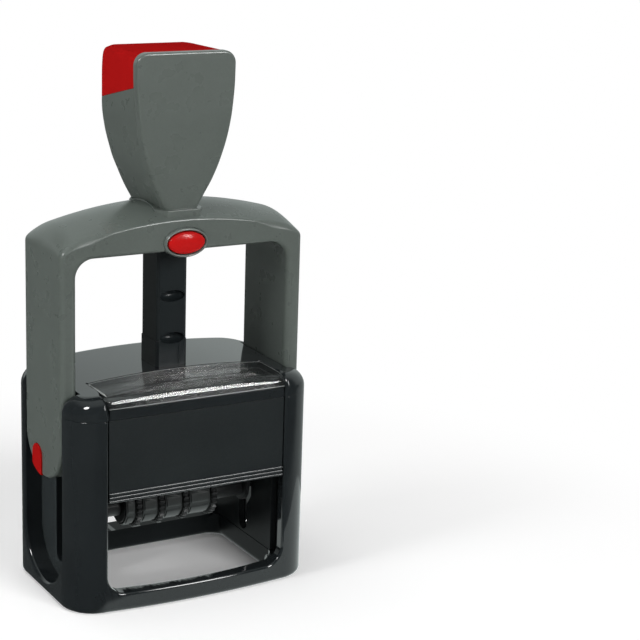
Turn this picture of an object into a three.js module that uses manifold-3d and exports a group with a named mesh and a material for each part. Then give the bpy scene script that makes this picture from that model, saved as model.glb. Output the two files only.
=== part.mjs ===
// Self-inking date stamp with a push-down handle bow, a flip-over print carriage and four date wheels.
// Millimetres, +Z up, the front faces -Y, origin at the middle of the rim that stands on the paper.
import * as THREE from 'three';
import { mergeVertices } from 'three/addons/utils/BufferGeometryUtils.js';
import Module from 'manifold-3d';

// Clearances shared by all pieces, and how far a cutting tool passes a face
const GAP = 0.3;
const SLIDE = 0.4;
const OVERRUN = 2;

// Facets
const ROUND_SEGMENTS = 4;
const CIRCLE_SIDES = 24;
const FINE = { curveSegments: 9 };

// Motion
const TRAVEL = 31;
const BUTTON_TRAVEL = 2.5;

// Base frame
const BASE_HALF_W = 42.8;
const BASE_HALF_D = 26.7;
const BASE_CORNER = 11.4;
const BASE_BOW = 1.9;
const SEAM_Z = 64;
const RIM_FILLET = 1.8;
const SIDE_WALL = 3.6;
const PILLAR_LIP = 1.8;
const PILLAR_DEPTH = 3.2;
const LEDGE_Z = 8;
const LEDGE_DEPTH = 3.5;
const PRINT_CORNER = 4;
const PRINT_BOW = 2.6;
const PRINT_FLARE = 2.4;
const FRONT_SILL_Z = 6.2;
const REAR_SILL_Z = 7.8;
const WINDOW_CORNER = 6;
const CHANNEL_ROOM = 4.5;

// Handle bow
const LEG_RECESS = 0.5;
const LEG_THICK = 5.4;
const LEG_SIDE_GAP = 0.2;
const BOW_EDGE = 1.6;
const LEG_END_Z = 39.3;
const ARCH_UNDER_Z = 112.9;
const ARCH_INNER_R = 6;
const ARCH_THICK = 14.1;
const ARCH_SPAN_DROP = 4.9;
const ARCH_DEPTH_DROP = 4;
const ARCH_SHOULDER_R = 8.5;
const COLLAR_DROP = 1.8;
const COLLAR_HALF_W = 7.8;
const COLLAR_FRONT_HALF_W = 5.1;
const COLLAR_HALF_D = 12.8;
const COLLAR_SPREAD = 2.6;
const KNOB_SEAT_HALF_D = 13.2;
const KNOB_SEAT_CORNER = 2;

// Places that follow from the base and the legs
const LEG_OUTER_X = BASE_HALF_W - LEG_RECESS;
const LEG_INNER_X = LEG_OUTER_X - LEG_THICK;
const WALL_X = LEG_INNER_X - GAP - SIDE_WALL;
const WINDOW_HALF_W = WALL_X - PILLAR_LIP;
const CAVITY_HALF_D = BASE_HALF_D - PILLAR_DEPTH;
const BOW_HALF_D = BASE_HALF_D - BASE_CORNER - LEG_SIDE_GAP;
const ARCH_TOP_Z = ARCH_UNDER_Z + ARCH_THICK;
const COLLAR_TOP_Z = ARCH_TOP_Z - COLLAR_DROP;

// Track plates
const TRACK_THICK = 2;
const TRACK_INSET = 4;
const TRACK_GROOVE = 1.4;
const TRACK_STEPS = 16;
const TRACK_HALF_D = CAVITY_HALF_D - TRACK_INSET;
const TRACK_X = WALL_X - GAP - TRACK_THICK;
const PRINT_HALF_W = TRACK_X;
const PRINT_HALF_D = CAVITY_HALF_D - LEDGE_DEPTH;

// Carriage, measured from the flip axis
const PIN_ABOVE_END = 3.7;
const PIVOT_Z = LEG_END_Z + PIN_ABOVE_END;
const PIN_R = 2.5;
const PIN_IN_LEG = 2.8;
const FOLLOWER_OFFSET = 6;
const FOLLOWER_R = 1.4;
const FOLLOWER_REACH = 1.5;
const END_PLATE_THICK = 1.4;
const END_PLATE_X = TRACK_X - SLIDE - END_PLATE_THICK;
const END_PLATE_HALF_D = 10;
const END_PLATE_RIM = 1.6;
const FRAME_HALF_D = 15;
const FRAME_END_BAR = 2.9;
const FRAME_SIDE_BAR = 4;
const FRAME_LOW = 4.6;
const FRAME_HIGH = 6.5;
const TEXT_PLATE_HALF_W = END_PLATE_X - GAP;
const TEXT_PLATE_ROOM = 2.9;
const TEXT_PLATE_HALF_D = PRINT_HALF_D - TEXT_PLATE_ROOM;
const TEXT_PLATE_THICK = 1.6;
const TEXT_PLATE_CORNER = 1.5;
const DIE_MARGIN = 0.6;
const DIE_HALF_W = TEXT_PLATE_HALF_W - DIE_MARGIN;
const DIE_HALF_D = TEXT_PLATE_HALF_D - DIE_MARGIN;
const DIE_SHEET_THICK = 0.7;
const PRINT_CLEAR = 1;
const DIE_FACE = PIVOT_Z - TRAVEL - PRINT_CLEAR;
const DIE_RELIEF_INSET = 2.2;
const DIE_BORDER = 1.1;
const DATE_SLOT_HALF_D = 3.7;

// Date wheels and bands
const AXLE_DROP = 18;
const AXLE_R = 1.5;
const AXLE_COLLAR_R = 3.2;
const DRUM_R = 5.6;
const DISC_R = 7.6;
const DISC_TOOTH = 0.6;
const DISC_TEETH = 26;
const DISC_THICK = 2;
const BAND_THICK = 0.9;
const BAND_NOSE_R = 2.9;
const BRIDGE_HALF_D = 1.6;
const BRIDGE_LOW = 1.5;
const DRUM_SPAN_SHARE = 0.42;
const DRUM_SPAN = DRUM_SPAN_SHARE * 2 * END_PLATE_X;
const WHEELS_OFFSET = 0.4;
const WHEEL_NAMES = ['day_tens', 'day_units', 'month', 'year'];
const DRUM_SHARES = [0.156, 0.239, 0.272, 0.333];

// Ink cartridge
const PAD_CLEAR = 1.2;
const PAD_MARGIN = 0.8;
const PAD_PROUD = 1.1;
const PAD_THICK = 6.4;
const PAD_CORNER = 2;
const PAD_FACE_Z = PIVOT_Z + DIE_FACE + PAD_CLEAR;
const PAD_HALF_W = DIE_HALF_W + PAD_MARGIN;
const PAD_HALF_D = DIE_HALF_D + PAD_MARGIN;
const CARTRIDGE_LOW_Z = PAD_FACE_Z + PAD_PROUD;
const CARTRIDGE_TOP_GAP = 0.5;
const CARTRIDGE_FRONT_WALL = 2.3;
const GRIP_THICK = 1.6;
const GRIP_RIDGE_R = 0.7;
const GRIP_RIDGES = 4;

// Guide column
const COLUMN_HALF_W = 5.3;
const COLUMN_HALF_D = 6.1;
const COLUMN_CHAMFER = 0.9;
const COLUMN_IN_ARCH = 8.6;
const COLUMN_FOOT_H = 8.4;
const COLUMN_FOOT_EXTRA = 0.4;
const PILOT_R = 2.8;
const PILOT_H = 6;
const NOTCH_HALF_W = 4.4;
const NOTCH_DEPTH = 3.2;
const NOTCH_HALF_H = 1.9;
const NOTCH_PITCH = 14;
const COLUMN_TOP_Z = ARCH_UNDER_Z + COLUMN_IN_ARCH;

// Knob
const KNOB_HEIGHT = 50;
const KNOB_HALF_W = 17;
const KNOB_FRONT_Y = 12;
const KNOB_REAR_Y = 14.5;
const KNOB_REAR_R = 5;
const KNOB_FRONT_R = 1.6;
const PLATE_FRONT_Y = 14.8;
const PLATE_EDGE = 0.5;
const PLATE_LEVELS = 14;
const PLATE_CORNER_LEVELS = 5;
const CAP_SEAM_FRONT_DROP = 10.8;
const CAP_SEAM_REAR_DROP = 17.2;
const SHAFT_ROOM = 1.5;
const KNOB_ROOF = 7.5;
const KNOB_FOOT_Z = COLLAR_TOP_Z + GAP;
const KNOB_TOP_Z = KNOB_FOOT_Z + KNOB_HEIGHT;
const SPRING_CEILING_Z = KNOB_TOP_Z - KNOB_ROOF;

// Knob outline as shares of its height, half width and depths: [rise, half width, front, rear]
const KNOB_SHARES = [
  [0, 0.392, 0.79, 0.869],
  [0.096, 0.547, 0.83, 0.924],
  [0.19, 0.671, 0.87, 0.966],
  [0.31, 0.818, 0.92, 0.993],
  [0.482, 0.941, 0.972, 1],
  [0.64, 0.982, 1, 1],
  [0.81, 0.982, 1, 1],
  [0.91, 0.965, 1, 0.986],
  [0.958, 0.9, 1, 0.938],
  [0.988, 0.782, 0.983, 0.841],
  [1, 0.624, 0.917, 0.717],
];

// Face plate outline as shares of the knob's height and half width: [rise, half width]
const PLATE_SHARES = [
  [0, 0.276],
  [0.096, 0.424],
  [0.19, 0.565],
  [0.31, 0.706],
  [0.482, 0.865],
  [0.64, 0.947],
  [0.81, 0.994],
  [0.92, 1],
];

// Return spring
const SPRING_R = 4.4;
const SPRING_WIRE_R = 0.55;
const SPRING_WIRE_SIDES = 5;
const SPRING_TURNS = 9;
const SPRING_TURN_STEPS = 8;

// Lock button
const BUTTON_RISE = 2.85;
const BUTTON_Z = ARCH_UNDER_Z + BUTTON_RISE;
const BUTTON_HALF_W = 6.4;
const BUTTON_HALF_H = 3.55;
const BUTTON_FACE_Y = 17.2;
const BUTTON_BACK_Y = 12.7;
const BUTTON_CROWN = 1.4;
const BEZEL_HALF_W = 7.6;
const BEZEL_HALF_H = 4.85;
const BEZEL_FACE_Y = 16.2;
const BEZEL_BACK_Y = 9.6;
const LATCH_DROP = 2.55;
const LATCH_HALF_W = 3;
const LATCH_HALF_H = 0.8;
const LATCH_TIP_SHARE = 0.6;

// Top cover and transparent window cover
const DECK_Z = 73;
const DECK_DROP = 2.9;
const COVER_EDGE_R = 5;
const CEILING_REAR_Z = 70;
const CEILING_FRONT_Z = 66.6;
const LENS_BACK_SHARE = 1 / 3;
const LENS_BACK_Y = BASE_HALF_D * LENS_BACK_SHARE;
const LENS_FLOOR_Z = 69;
const LENS_STEP = 3.8;
const LENS_LIP_Z = 67.3;
const LENS_EDGE_R = 4.2;
const LENS_SLOPE = 1.1;
const LENS_WALL = 1.2;
const PANEL_INSET = 0.6;
const PANEL_FACE_Y = BASE_HALF_D - PANEL_INSET;
const LENS_STEP_Y = PANEL_FACE_Y - LENS_STEP;
const LENS_FRONT_Y = PANEL_FACE_Y + GAP;

// Panels
const PANEL_THICK = 2.2;
const PANEL_FOOT_Z = 36.9;
const RIDGE_COUNT = 3;
const RIDGE_PITCH = 1.25;
const RIDGE_R = 0.45;

// Leg inserts
const INSERT_REAR_Y = 8.1;
const INSERT_FRONT_Y = 0.7;
const INSERT_TOP_Z = 49;
const INSERT_DEPTH = 2;

const WELD = 1e-4;

const wasm = await Module();
wasm.setup();

// Solids from closed geometries, and back
function solid(geometry) {
  const bare = geometry.clone();
  for (const name of Object.keys(bare.attributes)) {
    if (name !== 'position') bare.deleteAttribute(name);
  }
  const merged = mergeVertices(bare, WELD);
  return new wasm.Manifold(new wasm.Mesh({
    numProp: 3,
    vertProperties: new Float32Array(merged.attributes.position.array),
    triVerts: new Uint32Array(merged.index.array),
  }));
}

function cut(body, ...tools) {
  return tools.reduce((left, tool) => left.subtract(tool), body);
}

function join(body, ...others) {
  return others.reduce((sum, other) => sum.add(other), body);
}

function common(body, ...others) {
  return others.reduce((left, other) => left.intersect(other), body);
}

function geometryOf(body) {
  const mesh = body.getMesh();
  const geometry = new THREE.BufferGeometry();
  geometry.setAttribute('position', new THREE.BufferAttribute(new Float32Array(mesh.vertProperties), 3));
  geometry.setIndex(new THREE.BufferAttribute(new Uint32Array(mesh.triVerts), 1));
  return geometry;
}

// Extrusions along the three axes between two planes
function extrude(shape, depth, options = {}) {
  return new THREE.ExtrudeGeometry(shape, {
    depth, bevelEnabled: false, curveSegments: ROUND_SEGMENTS, ...options,
  });
}

function alongZ(shape, low, high) {
  return solid(extrude(shape, high - low).translate(0, 0, low));
}

function alongY(shape, low, high, options = {}) {
  return solid(extrude(shape, high - low, options).rotateX(Math.PI / 2).translate(0, high, 0));
}

function alongX(shape, low, high, options = {}) {
  const turn = new THREE.Matrix4().set(0, 0, 1, 0, 1, 0, 0, 0, 0, 1, 0, 0, 0, 0, 0, 1);
  return solid(extrude(shape, high - low, options).applyMatrix4(turn).translate(low, 0, 0));
}

function block(x0, x1, y0, y1, z0, z1) {
  const box = new THREE.BoxGeometry(x1 - x0, y1 - y0, z1 - z0);
  return solid(box.translate((x0 + x1) / 2, (y0 + y1) / 2, (z0 + z1) / 2));
}

function mirrored(build) {
  return { left: build(-1), right: build(1) };
}

// A block between two distances from the middle plane, on the left (-1) or right (1) side
function sideBlock(side, near, far, y0, y1, z0, z1) {
  const ends = [side * near, side * far].sort((a, b) => a - b);
  return block(ends[0], ends[1], y0, y1, z0, z1);
}

function sideExtrude(side, shape, near, far, options = {}) {
  const ends = [side * near, side * far].sort((a, b) => a - b);
  return alongX(shape, ends[0], ends[1], options);
}

function polygon(points) {
  return new THREE.Shape(points.map(([u, v]) => new THREE.Vector2(u, v)));
}

// Rectangle with round corners whose long edges bow outwards
function plan(halfW, halfD, corner, frontBow = 0, rearBow = frontBow) {
  const a = halfW - corner;
  const d = halfD - corner;
  const shape = new THREE.Shape();
  shape.moveTo(-a, -halfD);
  if (frontBow > 0) shape.quadraticCurveTo(0, -halfD - 2 * frontBow, a, -halfD);
  shape.absarc(a, -d, corner, -Math.PI / 2, 0, false);
  shape.absarc(a, d, corner, 0, Math.PI / 2, false);
  if (rearBow > 0) shape.quadraticCurveTo(0, halfD + 2 * rearBow, -a, halfD);
  shape.absarc(-a, d, corner, Math.PI / 2, Math.PI, false);
  shape.absarc(-a, -d, corner, Math.PI, Math.PI * 1.5, false);
  return shape;
}

function ellipse(halfW, halfH, sides = CIRCLE_SIDES) {
  const turns = Array.from({ length: sides }, (unused, i) => (i / sides) * Math.PI * 2);
  return polygon(turns.map((turn) => [halfW * Math.cos(turn), halfH * Math.sin(turn)]));
}

function circle(radius, sides = CIRCLE_SIDES) {
  return ellipse(radius, radius, sides);
}

// Upright slot with round ends, in the plane across the X axis
function slot(halfWidth, lowZ, highZ) {
  const shape = new THREE.Shape();
  shape.absarc(0, highZ, halfWidth, 0, Math.PI, false);
  shape.absarc(0, lowZ, halfWidth, Math.PI, Math.PI * 2, false);
  return shape;
}

// Solid through a stack of level rings with equal point counts, closed by flat ends
function stack(rings) {
  const count = rings[0].length;
  const positions = rings.flat().flatMap((p) => [p.x, p.y, p.z]);
  const index = [];
  for (let level = 0; level + 1 < rings.length; level += 1) {
    for (let i = 0; i < count; i += 1) {
      const a = level * count + i;
      const b = level * count + ((i + 1) % count);
      index.push(a, b, b + count, a, b + count, a + count);
    }
  }
  const last = (rings.length - 1) * count;
  const flat = (ring) => ring.map((p) => new THREE.Vector2(p.x, p.y));
  for (const [a, b, c] of THREE.ShapeUtils.triangulateShape(flat(rings[0]), [])) index.push(a, c, b);
  for (const [a, b, c] of THREE.ShapeUtils.triangulateShape(flat(rings[rings.length - 1]), [])) {
    index.push(last + a, last + b, last + c);
  }
  const geometry = new THREE.BufferGeometry();
  geometry.setAttribute('position', new THREE.Float32BufferAttribute(positions, 3));
  geometry.setIndex(index);
  return geometry;
}

function ring(shape, z) {
  const points = shape.getPoints(ROUND_SEGMENTS);
  const distinct = points.filter((p, i) => p.distanceTo(points[(i + 1) % points.length]) > WELD);
  return distinct.map((p) => new THREE.Vector3(p.x, p.y, z));
}

// Base frame: bowed body on a rounded rim, print opening, front and rear windows, leg channels
function channelProfile(endZ) {
  const half = BOW_HALF_D + SLIDE;
  const shape = new THREE.Shape();
  shape.moveTo(half, DECK_Z + OVERRUN);
  shape.lineTo(-half, DECK_Z + OVERRUN);
  shape.absarc(0, endZ + half, half, Math.PI, Math.PI * 2, false);
  return shape;
}

function windowCut(sillZ) {
  const shape = new THREE.Shape();
  const a = WINDOW_HALF_W - WINDOW_CORNER;
  shape.moveTo(WINDOW_HALF_W, SEAM_Z + OVERRUN);
  shape.lineTo(-WINDOW_HALF_W, SEAM_Z + OVERRUN);
  shape.absarc(-a, sillZ + WINDOW_CORNER, WINDOW_CORNER, Math.PI, Math.PI * 1.5, false);
  shape.absarc(a, sillZ + WINDOW_CORNER, WINDOW_CORNER, Math.PI * 1.5, Math.PI * 2, false);
  return shape;
}

function legChannel(side) {
  const endZ = LEG_END_Z - TRAVEL - CHANNEL_ROOM;
  return sideExtrude(side, channelProfile(endZ), LEG_INNER_X - GAP, BASE_HALF_W + OVERRUN, FINE);
}

function printOpening() {
  const rings = [];
  for (let i = 0; i <= 3; i += 1) {
    const turn = (i / 3) * (Math.PI / 2);
    const flare = PRINT_FLARE * (1 - Math.sin(turn));
    const outline = plan(PRINT_HALF_W + flare, PRINT_HALF_D + flare, PRINT_CORNER + flare, PRINT_BOW, 0);
    rings.push(ring(outline, PRINT_FLARE * (1 - Math.cos(turn))));
  }
  const below = rings[0].map((p) => new THREE.Vector3(p.x, p.y, -OVERRUN));
  const above = rings[3].map((p) => new THREE.Vector3(p.x, p.y, LEDGE_Z + OVERRUN));
  return solid(stack([below, ...rings, above]));
}

function baseFrame() {
  const outline = plan(BASE_HALF_W, BASE_HALF_D, BASE_CORNER, BASE_BOW);
  const body = solid(extrude(outline, SEAM_Z, {
    bevelEnabled: true,
    bevelThickness: RIM_FILLET,
    bevelSize: RIM_FILLET,
    bevelOffset: -RIM_FILLET,
    bevelSegments: 3,
  }).translate(0, 0, RIM_FILLET));
  const far = BASE_HALF_W + OVERRUN;
  const trim = block(-far, far, -far, far, SEAM_Z - GAP / 2, SEAM_Z + RIM_FILLET * 2 + OVERRUN);
  const cavity = block(-WALL_X, WALL_X, -CAVITY_HALF_D, CAVITY_HALF_D, LEDGE_Z, SEAM_Z + OVERRUN);
  const front = alongY(windowCut(FRONT_SILL_Z), -far, -PRINT_HALF_D);
  const rear = alongY(windowCut(REAR_SILL_Z), PRINT_HALF_D, far);
  const cartridgeDoor = block(-WALL_X, WALL_X, 0, far, CARTRIDGE_LOW_Z - GAP, SEAM_Z + OVERRUN);
  const pinSlot = slot(PIN_R + SLIDE, PIVOT_Z - TRAVEL, PIVOT_Z);
  const slots = mirrored((side) => sideExtrude(side, pinSlot, WALL_X - OVERRUN, LEG_INNER_X));
  const channels = mirrored(legChannel);
  return cut(body, trim, cavity, printOpening(), front, rear, cartridgeDoor,
    channels.left, channels.right, slots.left, slots.right);
}

// Track plate: straight slot for the pivot pin and the curved groove that turns the carriage over
function followerGroove() {
  const half = FOLLOWER_R + SLIDE;
  const outer = [];
  const inner = [];
  for (let i = 0; i <= TRACK_STEPS; i += 1) {
    const turn = (i / TRACK_STEPS) * Math.PI;
    const y = -FOLLOWER_OFFSET * Math.sin(turn);
    const z = PIVOT_Z - (TRAVEL * turn) / Math.PI - FOLLOWER_OFFSET * Math.cos(turn);
    const dy = -FOLLOWER_OFFSET * Math.cos(turn);
    const dz = -TRAVEL / Math.PI + FOLLOWER_OFFSET * Math.sin(turn);
    const length = Math.hypot(dy, dz);
    outer.push([y + (half * dz) / length, z - (half * dy) / length]);
    inner.push([y - (half * dz) / length, z + (half * dy) / length]);
  }
  return polygon([...outer, ...inner.reverse()]);
}

function trackPlate(side) {
  const outer = TRACK_X + TRACK_THICK;
  const plate = sideBlock(side, TRACK_X, outer, -TRACK_HALF_D, TRACK_HALF_D, LEDGE_Z + GAP,
    CARTRIDGE_LOW_Z - GAP);
  const pinSlot = slot(PIN_R + SLIDE, PIVOT_Z - TRAVEL, PIVOT_Z);
  const through = sideExtrude(side, pinSlot, TRACK_X - OVERRUN, outer + OVERRUN);
  const groove = sideExtrude(side, followerGroove(), TRACK_X - OVERRUN, TRACK_X + TRACK_GROOVE);
  const ends = [PIVOT_Z - FOLLOWER_OFFSET, PIVOT_Z - TRAVEL + FOLLOWER_OFFSET].map((z) => (
    sideExtrude(side, circle(FOLLOWER_R + SLIDE), TRACK_X - OVERRUN, TRACK_X + TRACK_GROOVE)
      .translate([0, 0, z])));
  return cut(plate, through, groove, ...ends);
}

// Front and rear panels between the pillars, the front one with ridges along its foot
function panelSection(topZ) {
  const back = -PANEL_FACE_Y + PANEL_THICK;
  const shape = new THREE.Shape();
  shape.moveTo(back, topZ);
  shape.lineTo(-PANEL_FACE_Y, topZ);
  for (let i = RIDGE_COUNT - 1; i >= 0; i -= 1) {
    const z = PANEL_FOOT_Z + RIDGE_R + i * RIDGE_PITCH;
    shape.absarc(-PANEL_FACE_Y, z, RIDGE_R, Math.PI / 2, Math.PI * 1.5, false);
  }
  shape.lineTo(back, PANEL_FOOT_Z);
  return shape;
}

function frontPanel() {
  const half = WINDOW_HALF_W - GAP;
  return alongX(panelSection(SEAM_Z - GAP / 2), -half, half);
}

function rearPanel() {
  const half = WINDOW_HALF_W - GAP;
  const near = PANEL_FACE_Y - PANEL_THICK;
  return block(-half, half, near, PANEL_FACE_Y, PANEL_FOOT_Z, PAD_FACE_Z - GAP);
}

// Crown of the deck: highest along the middle, falling to both sides
function crownZ(x) {
  return DECK_Z - DECK_DROP * (x / BASE_HALF_W) ** 2;
}

function underCrown(halfW, lowZ, inset = 0) {
  const edgeZ = crownZ(halfW) - inset;
  const shape = new THREE.Shape();
  shape.moveTo(-halfW, lowZ);
  shape.lineTo(halfW, lowZ);
  shape.lineTo(halfW, edgeZ);
  shape.quadraticCurveTo(0, 2 * (DECK_Z - inset) - edgeZ, -halfW, edgeZ);
  return shape;
}

function coverShell() {
  const lowZ = SEAM_Z + GAP / 2;
  const rings = [ring(plan(BASE_HALF_W, BASE_HALF_D, BASE_CORNER), lowZ)];
  for (let i = 0; i <= ROUND_SEGMENTS; i += 1) {
    const turn = (i / ROUND_SEGMENTS) * (Math.PI / 2);
    const inset = COVER_EDGE_R * (1 - Math.cos(turn));
    const outline = plan(BASE_HALF_W - inset, BASE_HALF_D - inset, BASE_CORNER - inset);
    const drop = COVER_EDGE_R * (1 - Math.sin(turn));
    rings.push(ring(outline, 0).map((p) => new THREE.Vector3(p.x, p.y, crownZ(p.x) - drop)));
  }
  rings.push(rings[rings.length - 1].map((p) => new THREE.Vector3(p.x, p.y, DECK_Z + OVERRUN)));
  return solid(stack(rings));
}

function topCover() {
  const far = BASE_HALF_W + OVERRUN;
  const high = DECK_Z + OVERRUN * 2;
  const body = common(coverShell(), alongY(underCrown(BASE_HALF_W, SEAM_Z), -far, far, FINE));
  const backWall = LENS_WALL - LENS_BACK_Y;
  const rearRoom = block(-WALL_X, WALL_X, backWall, CAVITY_HALF_D, SEAM_Z, CEILING_REAR_Z);
  const frontRoom = block(-WALL_X, WALL_X, -LENS_STEP_Y, backWall + OVERRUN, SEAM_Z, CEILING_FRONT_Z);
  const lensFloor = block(-WINDOW_HALF_W, WINDOW_HALF_W, -far, -LENS_BACK_Y, LENS_FLOOR_Z, high);
  const lensLip = block(-WINDOW_HALF_W, WINDOW_HALF_W, -far, -LENS_STEP_Y, LENS_LIP_Z, high);
  const flush = block(-WINDOW_HALF_W, WINDOW_HALF_W, -far, -PANEL_FACE_Y, SEAM_Z, high);
  const channels = mirrored((side) => sideBlock(side, LEG_INNER_X - GAP, far,
    -BOW_HALF_D - SLIDE, BOW_HALF_D + SLIDE, SEAM_Z - OVERRUN, high));
  return cut(body, rearRoom, frontRoom, lensFloor, lensLip, flush, channels.left, channels.right);
}

// Transparent cover over the imprint window: crowned, rolled over the front edge, open below
function lensSection(inset) {
  const front = -LENS_FRONT_Y + inset;
  const back = -LENS_BACK_Y - GAP - inset;
  const top = DECK_Z - inset;
  const radius = LENS_EDGE_R - inset;
  const low = inset > 0 ? LENS_LIP_Z - OVERRUN : LENS_LIP_Z + GAP;
  const shape = new THREE.Shape();
  shape.moveTo(front, low);
  shape.lineTo(back, low);
  shape.lineTo(back, top);
  shape.lineTo(front + radius + LENS_SLOPE, top);
  shape.lineTo(front + radius, top - LENS_SLOPE / 2);
  shape.absarc(front + radius, top - LENS_SLOPE / 2 - radius, radius, Math.PI / 2, Math.PI, false);
  return shape;
}

function imprintWindowCover() {
  const half = WINDOW_HALF_W - GAP;
  const far = BASE_HALF_W;
  const lowZ = SEAM_Z;
  const outer = common(alongX(lensSection(0), -half, half), alongY(underCrown(half, lowZ), -far, far, FINE));
  const innerHalf = half - LENS_WALL;
  const inner = common(alongX(lensSection(LENS_WALL), -innerHalf, innerHalf),
    alongY(underCrown(innerHalf, lowZ, LENS_WALL), -far, far, FINE));
  const step = block(-far, far, -LENS_STEP_Y - GAP, 0, 0, LENS_FLOOR_Z + GAP);
  return cut(outer, inner, step);
}

// Guide column with lens-shaped lock notches, and a pilot for the return spring
function lensNotch(z) {
  const ball = new THREE.SphereGeometry(1, 16, 8);
  ball.scale(NOTCH_HALF_W, NOTCH_DEPTH, NOTCH_HALF_H);
  return solid(ball.translate(0, -COLUMN_HALF_D, z));
}

function chamferedColumn(extra) {
  const w = COLUMN_HALF_W + extra;
  const front = -COLUMN_HALF_D;
  const rear = COLUMN_HALF_D + extra;
  const c = COLUMN_CHAMFER;
  return polygon([[-w + c, front], [w - c, front], [w, front + c], [w, rear - c], [w - c, rear],
    [-w + c, rear], [-w, rear - c], [-w, front + c]]);
}

function guideColumn() {
  const shaft = alongZ(chamferedColumn(0), DECK_Z + GAP, COLUMN_TOP_Z);
  const foot = alongZ(chamferedColumn(COLUMN_FOOT_EXTRA), DECK_Z + GAP, DECK_Z + COLUMN_FOOT_H);
  const pilot = solid(extrude(circle(PILOT_R), PILOT_H + GAP).translate(0, 0, COLUMN_TOP_Z - GAP));
  const latchZ = BUTTON_Z - LATCH_DROP;
  const heights = [latchZ - TRAVEL, latchZ - TRAVEL + NOTCH_PITCH, latchZ];
  return cut(join(shaft, foot, pilot), ...heights.map(lensNotch));
}

// Handle bow: two legs and a crowned arch in one piece
function bowOutline() {
  const shoulderX = LEG_OUTER_X - ARCH_SHOULDER_R;
  const edgeTop = ARCH_TOP_Z - ARCH_SPAN_DROP;
  const crownZ = ARCH_TOP_Z + ARCH_SPAN_DROP;
  const lean = Math.atan2(crownZ - edgeTop, shoulderX);
  const edgeX = shoulderX + ARCH_SHOULDER_R * Math.sin(lean);
  const shoulderZ = edgeTop - ARCH_SHOULDER_R * Math.cos(lean);
  const lowZ = LEG_END_Z - OVERRUN;
  const innerX = LEG_INNER_X - ARCH_INNER_R;
  const innerZ = ARCH_UNDER_Z - ARCH_INNER_R;
  const shape = new THREE.Shape();
  shape.moveTo(-LEG_OUTER_X, lowZ);
  shape.lineTo(-LEG_INNER_X, lowZ);
  shape.absarc(-innerX, innerZ, ARCH_INNER_R, Math.PI, Math.PI / 2, true);
  shape.absarc(innerX, innerZ, ARCH_INNER_R, Math.PI / 2, 0, true);
  shape.lineTo(LEG_INNER_X, lowZ);
  shape.lineTo(LEG_OUTER_X, lowZ);
  shape.absarc(shoulderX, shoulderZ, ARCH_SHOULDER_R, 0, Math.PI / 2 - lean, false);
  shape.quadraticCurveTo(0, crownZ, -edgeX, edgeTop);
  shape.absarc(-shoulderX, shoulderZ, ARCH_SHOULDER_R, Math.PI / 2 + lean, Math.PI, false);
  return shape;
}

function crownedBow() {
  const depth = 2 * (BOW_HALF_D - BOW_EDGE);
  const geometry = extrude(bowOutline(), depth, {
    steps: 6,
    curveSegments: 6,
    bevelEnabled: true,
    bevelThickness: BOW_EDGE,
    bevelSize: BOW_EDGE,
    bevelOffset: -BOW_EDGE,
    bevelSegments: 2,
  });
  geometry.rotateX(Math.PI / 2).translate(0, depth / 2, 0);
  const places = geometry.attributes.position;
  for (let i = 0; i < places.count; i += 1) {
    const z = places.getZ(i);
    const heightShare = THREE.MathUtils.smoothstep(z, ARCH_UNDER_Z, ARCH_TOP_Z - ARCH_SPAN_DROP);
    const depthShare = (places.getY(i) / BOW_HALF_D) ** 2;
    places.setZ(i, z - ARCH_DEPTH_DROP * heightShare * depthShare);
  }
  return solid(geometry);
}

function legEnds() {
  const shape = new THREE.Shape();
  shape.moveTo(BOW_HALF_D, KNOB_TOP_Z);
  shape.lineTo(-BOW_HALF_D, KNOB_TOP_Z);
  shape.absarc(0, LEG_END_Z + BOW_HALF_D, BOW_HALF_D, Math.PI, Math.PI * 2, false);
  return alongX(shape, -BASE_HALF_W, BASE_HALF_W, FINE);
}

function insertOutline(grow) {
  const half = (INSERT_REAR_Y - INSERT_FRONT_Y) / 2 + grow;
  const middle = (INSERT_REAR_Y + INSERT_FRONT_Y) / 2;
  const lowZ = LEG_END_Z - OVERRUN;
  const shape = new THREE.Shape();
  shape.moveTo(middle - half, lowZ);
  shape.lineTo(middle + half, lowZ);
  shape.absarc(middle, INSERT_TOP_Z - half + grow, half, 0, Math.PI, false);
  return shape;
}

function legInsert(side) {
  const strip = sideExtrude(side, insertOutline(0), BASE_HALF_W - INSERT_DEPTH, BASE_HALF_W);
  return common(strip, legEnds());
}

// Collar that rises out of the crown to the knob's foot
function collarRing(spread, z) {
  const w = COLLAR_HALF_W + spread;
  const f = COLLAR_FRONT_HALF_W + spread;
  const d = Math.min(COLLAR_HALF_D + spread, BOW_HALF_D);
  const waist = KNOB_SEAT_HALF_D - COLLAR_HALF_W / 2;
  const points = [[-f, -d], [f, -d], [w, -waist], [w, waist], [f, d], [-f, d], [-w, waist], [-w, -waist]];
  return points.map(([x, y]) => new THREE.Vector3(x, y, z));
}

function collar() {
  const rootZ = ARCH_TOP_Z - ARCH_DEPTH_DROP - COLLAR_DROP;
  const roots = [collarRing(COLLAR_SPREAD, rootZ - OVERRUN), collarRing(COLLAR_SPREAD, rootZ)];
  return solid(stack([...roots, collarRing(0, COLLAR_TOP_Z)]));
}

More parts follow.
